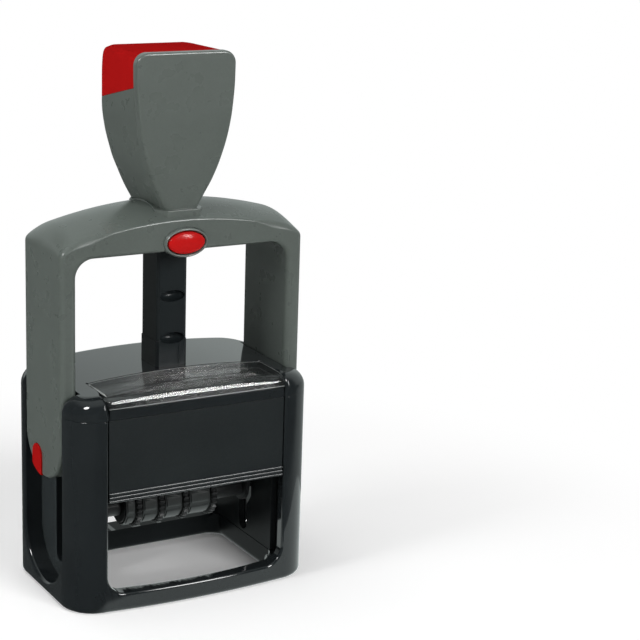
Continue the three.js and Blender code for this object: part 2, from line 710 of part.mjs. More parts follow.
function handleBow() {
  const body = join(common(crownedBow(), legEnds()), collar());
  const columnHole = block(-COLUMN_HALF_W - SLIDE, COLUMN_HALF_W + SLIDE, -COLUMN_HALF_D - SLIDE,
    COLUMN_HALF_D + SLIDE, ARCH_UNDER_Z - OVERRUN, COLLAR_TOP_Z + OVERRUN);
  const bezelHole = alongY(ellipse(BEZEL_HALF_W + GAP, BEZEL_HALF_H + GAP), -BOW_HALF_D - OVERRUN,
    -BEZEL_BACK_Y + GAP).translate([0, 0, BUTTON_Z]);
  const knobSeat = alongZ(plan(COLLAR_HALF_W, KNOB_SEAT_HALF_D, KNOB_SEAT_CORNER), COLLAR_TOP_Z, ARCH_TOP_Z + OVERRUN);
  const latchSlot = block(-LATCH_HALF_W - GAP, LATCH_HALF_W + GAP, -BEZEL_BACK_Y - OVERRUN, 0,
    ARCH_UNDER_Z - OVERRUN, BUTTON_Z - LATCH_DROP + LATCH_HALF_H + GAP);
  const sides = mirrored((side) => {
    const pinEnds = [side * (LEG_INNER_X - OVERRUN), side * (LEG_INNER_X + PIN_IN_LEG + GAP)];
    pinEnds.sort((a, b) => a - b);
    const hole = alongX(circle(PIN_R + GAP), pinEnds[0], pinEnds[1]).translate([0, 0, PIVOT_Z]);
    const seat = sideExtrude(side, insertOutline(GAP), BASE_HALF_W - INSERT_DEPTH - GAP,
      BASE_HALF_W + OVERRUN);
    return join(hole, seat);
  });
  return cut(body, columnHole, bezelHole, knobSeat, latchSlot, sides.left, sides.right);
}

function pivotPin(side) {
  const inner = END_PLATE_X + GAP / 2;
  const outer = LEG_INNER_X + PIN_IN_LEG;
  return sideExtrude(side, circle(PIN_R), inner, outer);
}

// Knob: a form that widens upwards, cut into body and cap along a slanting seam
function knobRing([rise, halfShare, frontShare, rearShare]) {
  const half = halfShare * KNOB_HALF_W;
  const front = frontShare * KNOB_FRONT_Y;
  const rear = rearShare * KNOB_REAR_Y;
  const rearR = KNOB_REAR_R * halfShare;
  const frontR = KNOB_FRONT_R;
  const shape = new THREE.Shape();
  shape.absarc(half - frontR, -front + frontR, frontR, -Math.PI / 2, 0, false);
  shape.absarc(half - rearR, rear - rearR, rearR, 0, Math.PI / 2, false);
  shape.absarc(-half + rearR, rear - rearR, rearR, Math.PI / 2, Math.PI, false);
  shape.absarc(-half + frontR, -front + frontR, frontR, Math.PI, Math.PI * 1.5, false);
  return ring(shape, KNOB_FOOT_Z + rise * KNOB_HEIGHT);
}

function knobForm() {
  return solid(stack(KNOB_SHARES.map(knobRing)));
}

// Half space above or below the slanting seam between the knob body and its cap
function seamWedge(above, shift) {
  const far = BASE_HALF_W;
  const slope = (CAP_SEAM_REAR_DROP - CAP_SEAM_FRONT_DROP) / (KNOB_FRONT_Y + KNOB_REAR_Y);
  const seamAt = (y) => KNOB_TOP_Z - CAP_SEAM_FRONT_DROP - slope * (y + KNOB_FRONT_Y) + shift;
  const endZ = above ? KNOB_TOP_Z + far : 0;
  return alongX(polygon([[-far, endZ], [far, endZ], [far, seamAt(far)], [-far, seamAt(-far)]]), -far, far);
}

function knobRoom() {
  const shaft = block(-COLUMN_HALF_W - SLIDE, COLUMN_HALF_W + SLIDE, -COLUMN_HALF_D - SLIDE,
    COLUMN_HALF_D + SLIDE, COLLAR_TOP_Z - OVERRUN, COLUMN_TOP_Z + TRAVEL + SHAFT_ROOM);
  const bore = solid(extrude(circle(SPRING_R + SPRING_WIRE_R + SLIDE),
    SPRING_CEILING_Z - COLLAR_TOP_Z).translate(0, 0, COLLAR_TOP_Z));
  return join(shaft, bore);
}

function knobBody() {
  return cut(knobForm(), seamWedge(true, -GAP / 2), knobRoom());
}

function knobCap() {
  return cut(knobForm(), seamWedge(false, GAP / 2), knobRoom());
}

// Face plate: a slab of one thickness that follows the knob's front, with a bevelled edge
function knobFrontY(z) {
  const rise = (z - KNOB_FOOT_Z) / KNOB_HEIGHT;
  const next = KNOB_SHARES.findIndex((row) => row[0] >= rise);
  const after = KNOB_SHARES[Math.max(next, 1)];
  const before = KNOB_SHARES[Math.max(next, 1) - 1];
  const share = THREE.MathUtils.mapLinear(rise, before[0], after[0], before[2], after[2]);
  return -KNOB_FRONT_Y * (rise > PLATE_SHARES[PLATE_SHARES.length - 1][0] ? 1 : share);
}

function plateRing(half, z) {
  const back = knobFrontY(z) - GAP;
  const front = knobFrontY(z) - PLATE_FRONT_Y + KNOB_FRONT_Y;
  const bevelY = front + PLATE_EDGE;
  const faceX = half - PLATE_EDGE;
  const corners = [[-half, back], [-half, bevelY], [-faceX, front], [faceX, front], [half, bevelY], [half, back]];
  return corners.map(([x, y]) => new THREE.Vector3(x, y, z));
}

function knobFacePlate() {
  const outline = new THREE.SplineCurve(PLATE_SHARES.map(([rise, halfShare]) => (
    new THREE.Vector2(halfShare * KNOB_HALF_W, KNOB_FOOT_Z + rise * KNOB_HEIGHT))));
  const rings = outline.getPoints(PLATE_LEVELS).map((p) => plateRing(p.x, p.y));
  const last = outline.getPoint(1);
  const corner = KNOB_TOP_Z - last.y;
  for (let i = 1; i <= PLATE_CORNER_LEVELS; i += 1) {
    const turn = (i / PLATE_CORNER_LEVELS) * (Math.PI / 2);
    rings.push(plateRing(last.x - corner * (1 - Math.cos(turn)), last.y + corner * Math.sin(turn)));
  }
  return solid(stack(rings));
}

// Return spring: one unbroken tube on a helix between the column top and the cap's ceiling
class SpringPath extends THREE.Curve {
  getPoint(t, target = new THREE.Vector3()) {
    const low = COLUMN_TOP_Z + GAP + SPRING_WIRE_R;
    const high = SPRING_CEILING_Z - GAP - SPRING_WIRE_R;
    const turn = t * SPRING_TURNS * Math.PI * 2;
    return target.set(SPRING_R * Math.cos(turn), SPRING_R * Math.sin(turn), low + (high - low) * t);
  }
}

function leastSpringGap() {
  const path = new SpringPath();
  const perTurn = 24;
  const points = path.getPoints(SPRING_TURNS * perTurn);
  let least = Infinity;
  points.forEach((p, i) => {
    for (let j = i + perTurn / 2; j < points.length; j += 1) {
      least = Math.min(least, p.distanceTo(points[j]) - 2 * SPRING_WIRE_R);
    }
  });
  return least;
}

function returnSpring() {
  return solid(extrude(circle(SPRING_WIRE_R, SPRING_WIRE_SIDES), 0, {
    steps: SPRING_TURNS * SPRING_TURN_STEPS,
    extrudePath: new SpringPath(),
  }));
}

// Lock button, its bezel ring and the latch that enters the column's notches
function lockButton() {
  const stem = alongY(ellipse(BUTTON_HALF_W, BUTTON_HALF_H), -BUTTON_FACE_Y + BUTTON_CROWN, -BUTTON_BACK_Y);
  const dome = new THREE.SphereGeometry(1, 24, 12);
  dome.scale(BUTTON_HALF_W, BUTTON_CROWN, BUTTON_HALF_H);
  return join(stem, solid(dome.translate(0, -BUTTON_FACE_Y + BUTTON_CROWN, 0)));
}

function buttonBezel() {
  const ringShape = ellipse(BEZEL_HALF_W, BEZEL_HALF_H);
  ringShape.holes.push(ellipse(BUTTON_HALF_W + GAP, BUTTON_HALF_H + GAP));
  return alongY(ringShape, -BEZEL_FACE_Y, -BEZEL_BACK_Y);
}

function latchSlide() {
  const tipY = -COLUMN_HALF_D - GAP;
  const rootY = -BUTTON_BACK_Y + GAP;
  const w = LATCH_HALF_W;
  const tipW = LATCH_HALF_W * LATCH_TIP_SHARE;
  const outline = polygon([[-w, rootY], [w, rootY], [w, tipY - BUTTON_TRAVEL], [tipW, tipY], [-tipW, tipY],
    [-w, tipY - BUTTON_TRAVEL]]);
  return alongZ(outline, -LATCH_DROP - LATCH_HALF_H, -LATCH_DROP + LATCH_HALF_H);
}

// Ink cartridge
function padTray() {
  const half = WALL_X - SLIDE;
  const highZ = SEAM_Z - CARTRIDGE_TOP_GAP;
  const frontY = -PAD_HALF_D - CARTRIDGE_FRONT_WALL;
  const body = block(-half, half, frontY, PANEL_FACE_Y, CARTRIDGE_LOW_Z, highZ);
  const gripHalf = WINDOW_HALF_W - GAP;
  const grip = block(-gripHalf, gripHalf, PANEL_FACE_Y - GRIP_THICK, PANEL_FACE_Y, PAD_FACE_Z, highZ);
  const pocket = alongZ(plan(PAD_HALF_W + GAP, PAD_HALF_D + GAP, PAD_CORNER), CARTRIDGE_LOW_Z - OVERRUN,
    PAD_FACE_Z + PAD_THICK + GAP);
  const pitch = (highZ - CARTRIDGE_LOW_Z) / (GRIP_RIDGES + 1);
  const ridges = Array.from({ length: GRIP_RIDGES }, (unused, i) => (
    alongX(circle(GRIP_RIDGE_R), -PAD_HALF_D, PAD_HALF_D)
      .translate([0, PANEL_FACE_Y, CARTRIDGE_LOW_Z + pitch * (i + 1)])));
  return join(cut(body, pocket), grip, ...ridges);
}

function inkPad() {
  return alongZ(plan(PAD_HALF_W, PAD_HALF_D, PAD_CORNER), PAD_FACE_Z, PAD_FACE_Z + PAD_THICK);
}

// Carriage frame: ring under the text plate, two end plates with pivot, axle and cam follower
function endPlateOutline() {
  const shape = new THREE.Shape();
  shape.moveTo(-END_PLATE_HALF_D, FRAME_HIGH);
  shape.lineTo(-END_PLATE_HALF_D, 0);
  shape.absarc(0, -AXLE_DROP, AXLE_COLLAR_R + END_PLATE_RIM, Math.PI, Math.PI * 2, false);
  shape.lineTo(END_PLATE_HALF_D, 0);
  shape.lineTo(END_PLATE_HALF_D, FRAME_HIGH);
  return shape;
}

function carriageFrame() {
  const outer = END_PLATE_X + END_PLATE_THICK;
  const ringBody = block(-outer, outer, -FRAME_HALF_D, FRAME_HALF_D, FRAME_LOW, FRAME_HIGH);
  const holeHalfD = FRAME_HALF_D - FRAME_SIDE_BAR;
  const hole = block(-END_PLATE_X + FRAME_END_BAR, END_PLATE_X - FRAME_END_BAR, -holeHalfD, holeHalfD,
    FRAME_LOW - OVERRUN, FRAME_HIGH + OVERRUN);
  const plates = mirrored((side) => {
    const plate = sideExtrude(side, endPlateOutline(), END_PLATE_X, outer);
    const follower = sideExtrude(side, circle(FOLLOWER_R), END_PLATE_X, outer + FOLLOWER_REACH);
    return join(plate, follower.translate([0, 0, -FOLLOWER_OFFSET]));
  });
  const pivotHole = alongX(circle(PIN_R + GAP), -outer - OVERRUN, outer + OVERRUN);
  const axleHole = alongX(circle(AXLE_R + GAP), -outer - OVERRUN, outer + OVERRUN);
  return cut(join(cut(ringBody, hole), plates.left, plates.right), pivotHole,
    axleHole.translate([0, 0, -AXLE_DROP]));
}

// Date wheels side by side on the axle, widest for the year
function wheelRow() {
  const count = WHEEL_NAMES.length;
  const span = DRUM_SPAN + count * DISC_THICK + (count - 1) * GAP;
  let left = WHEELS_OFFSET - span / 2;
  return WHEEL_NAMES.map((name, i) => {
    const wheel = { name, left, drum: DRUM_SHARES[i] * DRUM_SPAN };
    left += wheel.drum + DISC_THICK + GAP;
    return wheel;
  });
}

const WHEELS = wheelRow();
const BANDS_LEFT = WHEELS[0].left;
const BANDS_RIGHT = WHEELS[WHEELS.length - 1].left + WHEELS[WHEELS.length - 1].drum;

function dateSlot(low, high) {
  return block(BANDS_LEFT - GAP, BANDS_RIGHT + GAP, -DATE_SLOT_HALF_D, DATE_SLOT_HALF_D, low, high);
}

function textPlate() {
  const low = FRAME_HIGH + GAP;
  const plate = alongZ(plan(TEXT_PLATE_HALF_W, TEXT_PLATE_HALF_D, TEXT_PLATE_CORNER), low, low + TEXT_PLATE_THICK);
  return cut(plate, dateSlot(low - OVERRUN, low + OVERRUN * 2));
}

function textDie() {
  const low = FRAME_HIGH + TEXT_PLATE_THICK + 2 * GAP;
  const top = low + DIE_SHEET_THICK;
  const corner = TEXT_PLATE_CORNER - GAP;
  const halfW = DIE_HALF_W - GAP;
  const halfD = DIE_HALF_D - DIE_RELIEF_INSET;
  const sheet = alongZ(plan(DIE_HALF_W, DIE_HALF_D, corner), low, top);
  const border = alongZ(plan(halfW, halfD, corner), top - GAP / 2, DIE_FACE);
  const inside = block(-halfW + DIE_BORDER, halfW - DIE_BORDER, -halfD + DIE_BORDER, halfD - DIE_BORDER,
    top, DIE_FACE + OVERRUN);
  return cut(join(sheet, cut(border, inside)), dateSlot(low - OVERRUN, DIE_FACE + OVERRUN));
}

// Loop of a date band round its drum and over the printing nose
function bandLoop(drumR, noseR) {
  const noseZ = DIE_FACE - BAND_NOSE_R;
  const lean = Math.asin((drumR - noseR) / (noseZ + AXLE_DROP));
  const shape = new THREE.Shape();
  shape.absarc(0, noseZ, noseR, lean, Math.PI - lean, false);
  shape.absarc(0, -AXLE_DROP, drumR, Math.PI - lean, Math.PI * 2 + lean, false);
  return shape;
}

function dateBand(wheel) {
  const inner = DRUM_R + GAP;
  const loop = bandLoop(inner + BAND_THICK, BAND_NOSE_R);
  loop.holes.push(bandLoop(inner, BAND_NOSE_R - BAND_THICK));
  return alongX(loop, wheel.left + GAP, wheel.left + wheel.drum - GAP);
}

function bandBridge() {
  const noseTop = DIE_FACE - BAND_THICK - GAP;
  const half = END_PLATE_X - FRAME_END_BAR - GAP;
  const bar = block(-half, half, -BRIDGE_HALF_D, BRIDGE_HALF_D, BRIDGE_LOW, FRAME_HIGH);
  const round = new THREE.Shape();
  round.moveTo(-BRIDGE_HALF_D, FRAME_LOW);
  round.lineTo(BRIDGE_HALF_D, FRAME_LOW);
  round.absarc(0, noseTop - BRIDGE_HALF_D, BRIDGE_HALF_D, 0, Math.PI, false);
  return join(bar, alongX(round, BANDS_LEFT, BANDS_RIGHT));
}

function wheelAxle() {
  const reach = END_PLATE_X + END_PLATE_THICK - GAP;
  const rod = alongX(circle(AXLE_R), -reach, reach);
  const left = alongX(circle(AXLE_COLLAR_R), -END_PLATE_X + GAP, BANDS_LEFT - GAP);
  const right = alongX(circle(AXLE_COLLAR_R), BANDS_RIGHT + DISC_THICK + GAP, END_PLATE_X - GAP);
  return join(rod, left, right);
}

// Date wheel: plain drum with a toothed finger disc at its right end, on the axle's X axis
function dateWheel(wheel) {
  const teeth = [];
  for (let i = 0; i < DISC_TEETH * 2; i += 1) {
    const radius = i % 2 ? DISC_R : DISC_R - DISC_TOOTH;
    const turn = (i / (DISC_TEETH * 2)) * Math.PI * 2;
    teeth.push([radius * Math.cos(turn), radius * Math.sin(turn)]);
  }
  const disc = alongX(polygon(teeth), wheel.drum, wheel.drum + DISC_THICK);
  const drum = alongX(circle(DRUM_R), 0, wheel.drum + DISC_THICK / 2);
  const bore = alongX(circle(AXLE_R + GAP), -OVERRUN, wheel.drum + DISC_THICK + OVERRUN);
  return cut(join(disc, drum), bore);
}

// Materials
function material(color, roughness, metalness = 0, extra = {}) {
  return new THREE.MeshStandardMaterial({ color, roughness, metalness, ...extra });
}

const glossBlack = material(0x10151a, 0.18);
const satinBlack = material(0x14181b, 0.42);
const greyPlastic = material(0x5a605a, 0.45);
const redPlastic = material(0xc01015, 0.35);
const clearPlastic = material(0xdfe6e8, 0.05, 0, { transparent: true, opacity: 0.3 });
const steel = material(0xb9bdc0, 0.3, 1);
const rubber = material(0x8c2f2a, 0.7);
const bandRubber = material(0x2b2d2f, 0.7);
const padFelt = material(0x15151a, 0.95);

function place(group, name, body, look) {
  const mesh = new THREE.Mesh(geometryOf(body), look);
  mesh.name = name;
  group.add(mesh);
  return mesh;
}

function sub(parent, x, y, z) {
  const child = new THREE.Group();
  child.position.set(x, y, z);
  parent.add(child);
  return child;
}

const group = new THREE.Group();

// Housing
const housing = sub(group, 0, 0, 0);
place(housing, 'base_frame', baseFrame(), glossBlack);
place(housing, 'top_cover', topCover(), glossBlack);
place(housing, 'front_panel', frontPanel(), satinBlack);
place(housing, 'rear_panel', rearPanel(), satinBlack);
place(housing, 'guide_column', guideColumn(), satinBlack);
place(housing, 'left_track_plate', trackPlate(-1), satinBlack);
place(housing, 'right_track_plate', trackPlate(1), satinBlack);
place(housing, 'imprint_window_cover', imprintWindowCover(), clearPlastic);

// Ink cartridge
const cartridge = sub(group, 0, 0, 0);
place(cartridge, 'pad_tray', padTray(), satinBlack);
place(cartridge, 'ink_pad', inkPad(), padFelt);

// Handle
const handle = sub(group, 0, 0, 0);
place(handle, 'handle_bow', handleBow(), greyPlastic);
place(handle, 'knob_body', knobBody(), greyPlastic);
place(handle, 'knob_cap', knobCap(), redPlastic);
place(handle, 'knob_face_plate', knobFacePlate(), greyPlastic);
place(handle, 'left_leg_insert', legInsert(-1), redPlastic);
place(handle, 'right_leg_insert', legInsert(1), redPlastic);
place(handle, 'return_spring', returnSpring(), steel);
const pins = sub(handle, 0, 0, PIVOT_Z);
place(pins, 'left_pivot_pin', pivotPin(-1), steel);
place(pins, 'right_pivot_pin', pivotPin(1), steel);
const lock = sub(handle, 0, 0, BUTTON_Z);
place(lock, 'button_bezel', buttonBezel(), greyPlastic);
place(lock, 'lock_button', lockButton(), redPlastic);
place(lock, 'latch_slide', latchSlide(), satinBlack);

// Carriage
const carriage = sub(group, 0, 0, PIVOT_Z);
place(carriage, 'carriage_frame', carriageFrame(), satinBlack);
place(carriage, 'text_plate', textPlate(), greyPlastic);
place(carriage, 'text_die', textDie(), rubber);
place(carriage, 'band_bridge', bandBridge(), satinBlack);
const axle = sub(carriage, 0, 0, -AXLE_DROP);
place(axle, 'wheel_axle', wheelAxle(), satinBlack);
for (const wheel of WHEELS) {
  place(carriage, `${wheel.name}_band`, dateBand(wheel), bandRubber);
  const hub = sub(axle, wheel.left, 0, 0);
  place(hub, `${wheel.name}_wheel`, dateWheel(wheel), satinBlack);
}

console.log(`least gap of the spring to itself: ${leastSpringGap().toFixed(2)} mm`);

export default group;
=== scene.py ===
"""Looks of a self-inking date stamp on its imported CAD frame. Shapes are built in millimetres and then scaled."""

import math

import bmesh
import bpy
from mathutils import Matrix, Vector


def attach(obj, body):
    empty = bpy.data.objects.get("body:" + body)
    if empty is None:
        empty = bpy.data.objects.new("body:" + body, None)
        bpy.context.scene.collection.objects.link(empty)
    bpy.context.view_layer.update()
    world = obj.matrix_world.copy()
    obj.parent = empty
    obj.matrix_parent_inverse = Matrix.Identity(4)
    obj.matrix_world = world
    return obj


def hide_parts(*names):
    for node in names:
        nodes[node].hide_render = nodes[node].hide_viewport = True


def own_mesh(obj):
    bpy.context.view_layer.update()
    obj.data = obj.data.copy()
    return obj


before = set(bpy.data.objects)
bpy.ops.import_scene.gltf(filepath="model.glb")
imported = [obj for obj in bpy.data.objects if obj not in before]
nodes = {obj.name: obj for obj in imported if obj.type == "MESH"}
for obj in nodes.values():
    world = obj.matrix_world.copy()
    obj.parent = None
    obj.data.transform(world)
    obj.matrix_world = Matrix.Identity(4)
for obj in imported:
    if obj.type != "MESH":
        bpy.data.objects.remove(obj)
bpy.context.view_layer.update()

MM = 0.001
PI = math.pi

# Sizes shared with the CAD source, in millimetres
GAP = 0.3
SLIDE = 0.4
TRAVEL = 31
BASE_W, BASE_D, BASE_R, BASE_BOW = 42.8, 26.7, 11.4, 1.9
SEAM = 64
WALL_X, WINDOW_X, CAVITY_D = 33.0, 31.2, 23.5
LEDGE = 8
PRINT_W, PRINT_D, PRINT_R, PRINT_BOW = 30.7, 20.0, 4, 2.6
FRONT_SILL, REAR_SILL = 6.2, 7.8
WINDOW_R = 6
LEG_OUT, LEG_IN, BOW_D = 42.3, 36.9, 15.1
LEG_END = 39.3
INSERT_IN = 40.8
CHANNEL_END = 3.8
PIVOT, PIN_R = 43, 2.8
ARCH_UNDER, ARCH_TOP, ARCH_DROP = 112.9, 127.0, 4.9
ARCH_CROWN = 4
SHOULDER_R = 8.5
COLLAR_TOP = 125.2
DECK, DECK_DROP, DECK_EDGE = 73.0, 2.9, 5
RECESS_BACK, RECESS_FLOOR = -8.9, 69
KNOB_FOOT, KNOB_H, KNOB_W = 125.5, 50.0, 17.0
KNOB_TOP = KNOB_FOOT + KNOB_H
KNOB_FRONT, KNOB_REAR = 12, 14.5
COLUMN_TOP, SPIGOT_R = 121.5, 2.8
COLUMN_W, COLUMN_D, NOTCHES = 5.3, 6.1, (82.2, 96.2, 113.2)
SHAFT_W, SHAFT_D, SHAFT_SPACE = 5.7, 6.5, 154
BORE_R, BORE_TOP = 5.35, 168
BUTTON_Z = 115.75
BUTTON_W, BUTTON_H = 6.4, 3.55
CART_LOW = 56.3

# Hairline at a seam, and how far the cutting tools reach
HAIR, FAR = 0.05, 50


def smoothstep(x, low, high):
    t = max(0.0, min(1.0, (x - low) / (high - low)))
    return t * t * (3 - 2 * t)


def crown(x):
    """Height of the crowned deck at x."""
    return DECK - DECK_DROP * (x / BASE_W) ** 2


def quarter(count):
    """Cosine and sine at even steps over a quarter of a turn, both ends with them."""
    return [(math.cos(turn), math.sin(turn)) for turn in (k / count * PI / 2 for k in range(count + 1))]


# Plane outlines, counter-clockwise
def arc(cx, cy, r, start, end, count):
    return [
        (cx + r * math.cos(start + (end - start) * i / count), cy + r * math.sin(start + (end - start) * i / count))
        for i in range(count + 1)
    ]


def curve(a, b, control, count):
    """Inner points of a quadratic curve from a to b."""
    points = []
    for i in range(1, count):
        t = i / count
        points.append(tuple((1 - t) ** 2 * a[k] + 2 * t * (1 - t) * control[k] + t * t * b[k] for k in range(2)))
    return points


def plan(w, d, r, front=0.0, rear=None):
    """Rounded rectangle whose front and rear may bow out."""
    corner, side = 14, 28
    rear = front if rear is None else rear
    a, b = w - r, d - r
    points = arc(a, -b, r, -PI / 2, 0, corner) + arc(a, b, r, 0, PI / 2, corner)
    points += curve((a, d), (-a, d), (0, d + 2 * rear), side)
    points += arc(-a, b, r, PI / 2, PI, corner) + arc(-a, -b, r, PI, PI * 1.5, corner)
    points += curve((-a, -d), (a, -d), (0, -d - 2 * front), side)
    return points


def ellipse(w, h, count=64):
    return [(w * math.cos(2 * PI * i / count), h * math.sin(2 * PI * i / count)) for i in range(count)]


def slot(half, low, high):
    return arc(0, high, half, 0, PI, 20) + arc(0, low, half, PI, 2 * PI, 20)


def level(points, z):
    return [(x, y, z) for x, y in points]


# Meshes in millimetres
def new_object(name, bm):
    bmesh.ops.remove_doubles(bm, verts=bm.verts, dist=1e-5)
    bmesh.ops.recalc_face_normals(bm, faces=bm.faces)
    mesh = bpy.data.meshes.new(name)
    bm.to_mesh(mesh)
    bm.free()
    obj = bpy.data.objects.new(name, mesh)
    bpy.context.scene.collection.objects.link(obj)
    return obj


def loft(name, rings, closed=False):
    bm = bmesh.new()
    rows = [[bm.verts.new(p) for p in ring] for ring in rings]
    count = len(rows[0])
    pairs = list(zip(rows, rows[1:]))
    if closed:
        pairs.append((rows[-1], rows[0]))
    for low, high in pairs:
        for i in range(count):
            j = (i + 1) % count
            bm.faces.new((low[i], low[j], high[j], high[i]))
    if not closed:
        bm.faces.new(list(reversed(rows[0])))
        bm.faces.new(rows[-1])
    return new_object(name, bm)


AXES = {"x": lambda u, v, w: (w, u, v), "y": lambda u, v, w: (u, w, v), "z": lambda u, v, w: (u, v, w)}


def prism(name, outline, axis, low, high):
    place = AXES[axis]
    return loft(name, [[place(u, v, w) for u, v in outline] for w in (low, high)])


def side_prism(name, outline, side, near, far):
    """Prism along x on one side, between two distances from the middle."""
    return prism(name, outline, "x", *sorted((side * near, side * far)))


def block(x0, x1, y0, y1, z0, z1):
    return prism("tool", [(x0, y0), (x1, y0), (x1, y1), (x0, y1)], "z", z0, z1)


def bake(obj):
    bpy.context.view_layer.update()
    seen = obj.evaluated_get(bpy.context.evaluated_depsgraph_get())
    mesh = bpy.data.meshes.new_from_object(seen)
    obj.modifiers.clear()
    old = obj.data
    obj.data = mesh
    bpy.data.meshes.remove(old)
    return obj


def drop(obj):
    mesh = obj.data
    bpy.data.objects.remove(obj)
    bpy.data.meshes.remove(mesh)


def boolean(obj, tools, operation="DIFFERENCE"):
    for tool in tools:
        modifier = obj.modifiers.new("cut", "BOOLEAN")
        modifier.operation = operation
        modifier.solver = "MANIFOLD"
        modifier.object = tool
        bake(obj)
    for tool in tools:
        drop(tool)
    return obj


def soften(obj, rule, widest, segments=3, sharp=28):
    """Rounds each edge by the radius that rule(middle, edge) gives."""
    bm = bmesh.new()
    bm.from_mesh(obj.data)
    bmesh.ops.remove_doubles(bm, verts=bm.verts, dist=2e-4)
    bmesh.ops.dissolve_degenerate(bm, edges=bm.edges, dist=2e-4)
    bmesh.ops.dissolve_limit(bm, angle_limit=0.003, verts=bm.verts, edges=bm.edges)
    layer = bm.edges.layers.float.get("bevel_weight_edge") or bm.edges.layers.float.new("bevel_weight_edge")
    for edge in bm.edges:
        edge[layer] = 0.0
        if len(edge.link_faces) == 2 and edge.is_convex and edge.calc_face_angle(0) > math.radians(sharp):
            middle = (edge.verts[0].co + edge.verts[1].co) / 2
            edge[layer] = min(1.0, rule(middle, edge) / widest)
    bm.to_mesh(obj.data)
    bm.free()
    modifier = obj.modifiers.new("round", "BEVEL")
    modifier.limit_method = "WEIGHT"
    modifier.width = widest
    modifier.segments = segments
    modifier.use_clamp_overlap = True
    modifier.miter_outer = "MITER_ARC"
    return bake(obj)


def edge_tool(frames):
    """Tool that rounds an edge. Each frame is (place, into the opening, out of the surface, radius)."""
    over, rings = 0.6, []
    for place, inward, outward, r in frames:
        place, inward, outward = Vector(place), Vector(inward), Vector(outward)
        section = [(-r, over), (over, over), (over, -r)] + arc(-r, -r, r, 0, PI / 2, 8)
        rings.append([tuple(place + inward * u + outward * v) for u, v in section])
    return loft("tool", rings)


def dress(obj, body, mat, stands_for, sharp=32, weighted=True):
    """Scales a finished shape to metres, shades it, and sets it on its CAD body."""
    obj.data.transform(Matrix.Scale(MM, 4))
    bm = bmesh.new()
    bm.from_mesh(obj.data)
    bmesh.ops.remove_doubles(bm, verts=bm.verts, dist=1e-7)
    for face in bm.faces:
        face.smooth = True
    for edge in bm.edges:
        edge.smooth = len(edge.link_faces) == 2 and edge.calc_face_angle(0) < math.radians(sharp)
    bm.to_mesh(obj.data)
    bm.free()
    if weighted:
        modifier = obj.modifiers.new("normals", "WEIGHTED_NORMAL")
        modifier.keep_sharp = True
        modifier.weight = 80
    obj.data.materials.clear()
    obj.data.materials.append(mat)
    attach(obj, body)
    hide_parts(*stands_for)
    return obj


# Finishes
class Tree:
    """Short names for building the node tree of a material or the world."""

    def __init__(self, owner):
        owner.use_nodes = True
        self.tree = owner.node_tree
        self.tree.nodes.clear()

    def put(self, socket, value):
        if hasattr(value, "is_linked"):
            self.tree.links.new(value, socket)
        else:
            socket.default_value = value

    def new(self, kind, **values):
        """New node with values or links for its inputs, whose names have _ in place of a blank."""
        node = self.tree.nodes.new(kind)
        for name, value in values.items():
            self.put(node.inputs[name.replace("_", " ")], value)
        return node

    def math(self, operation, *values):
        node = self.new("ShaderNodeMath")
        node.operation = operation
        for socket, value in zip(node.inputs, values):
            self.put(socket, value)
        return node.outputs[0]

    def add(self, a, b):
        return self.math("ADD", a, b)

    def sub(self, a, b):
        return self.math("SUBTRACT", a, b)

    def mul(self, a, b):
        return self.math("MULTIPLY", a, b)

    def spread(self, value, low, high, start=0.3, end=0.7):
        node = self.new("ShaderNodeMapRange", Value=value, From_Min=start, From_Max=end, To_Min=low, To_Max=high)
        return node.outputs[0]

    def ramp(self, value, low, high):
        node = self.new("ShaderNodeMapRange", Value=value, From_Min=low, From_Max=high)
        node.interpolation_type = "SMOOTHSTEP"
        return node.outputs[0]

    def mix(self, factor, a, b):
        node = self.new("ShaderNodeMixShader")
        for socket, value in zip(node.inputs, (factor, a, b)):
            self.put(socket, value)
        return node.outputs[0]

    def glow(self, kind, strength, color=(1, 1, 1, 1)):
        return self.new(kind, Color=color, Strength=strength).outputs[0]


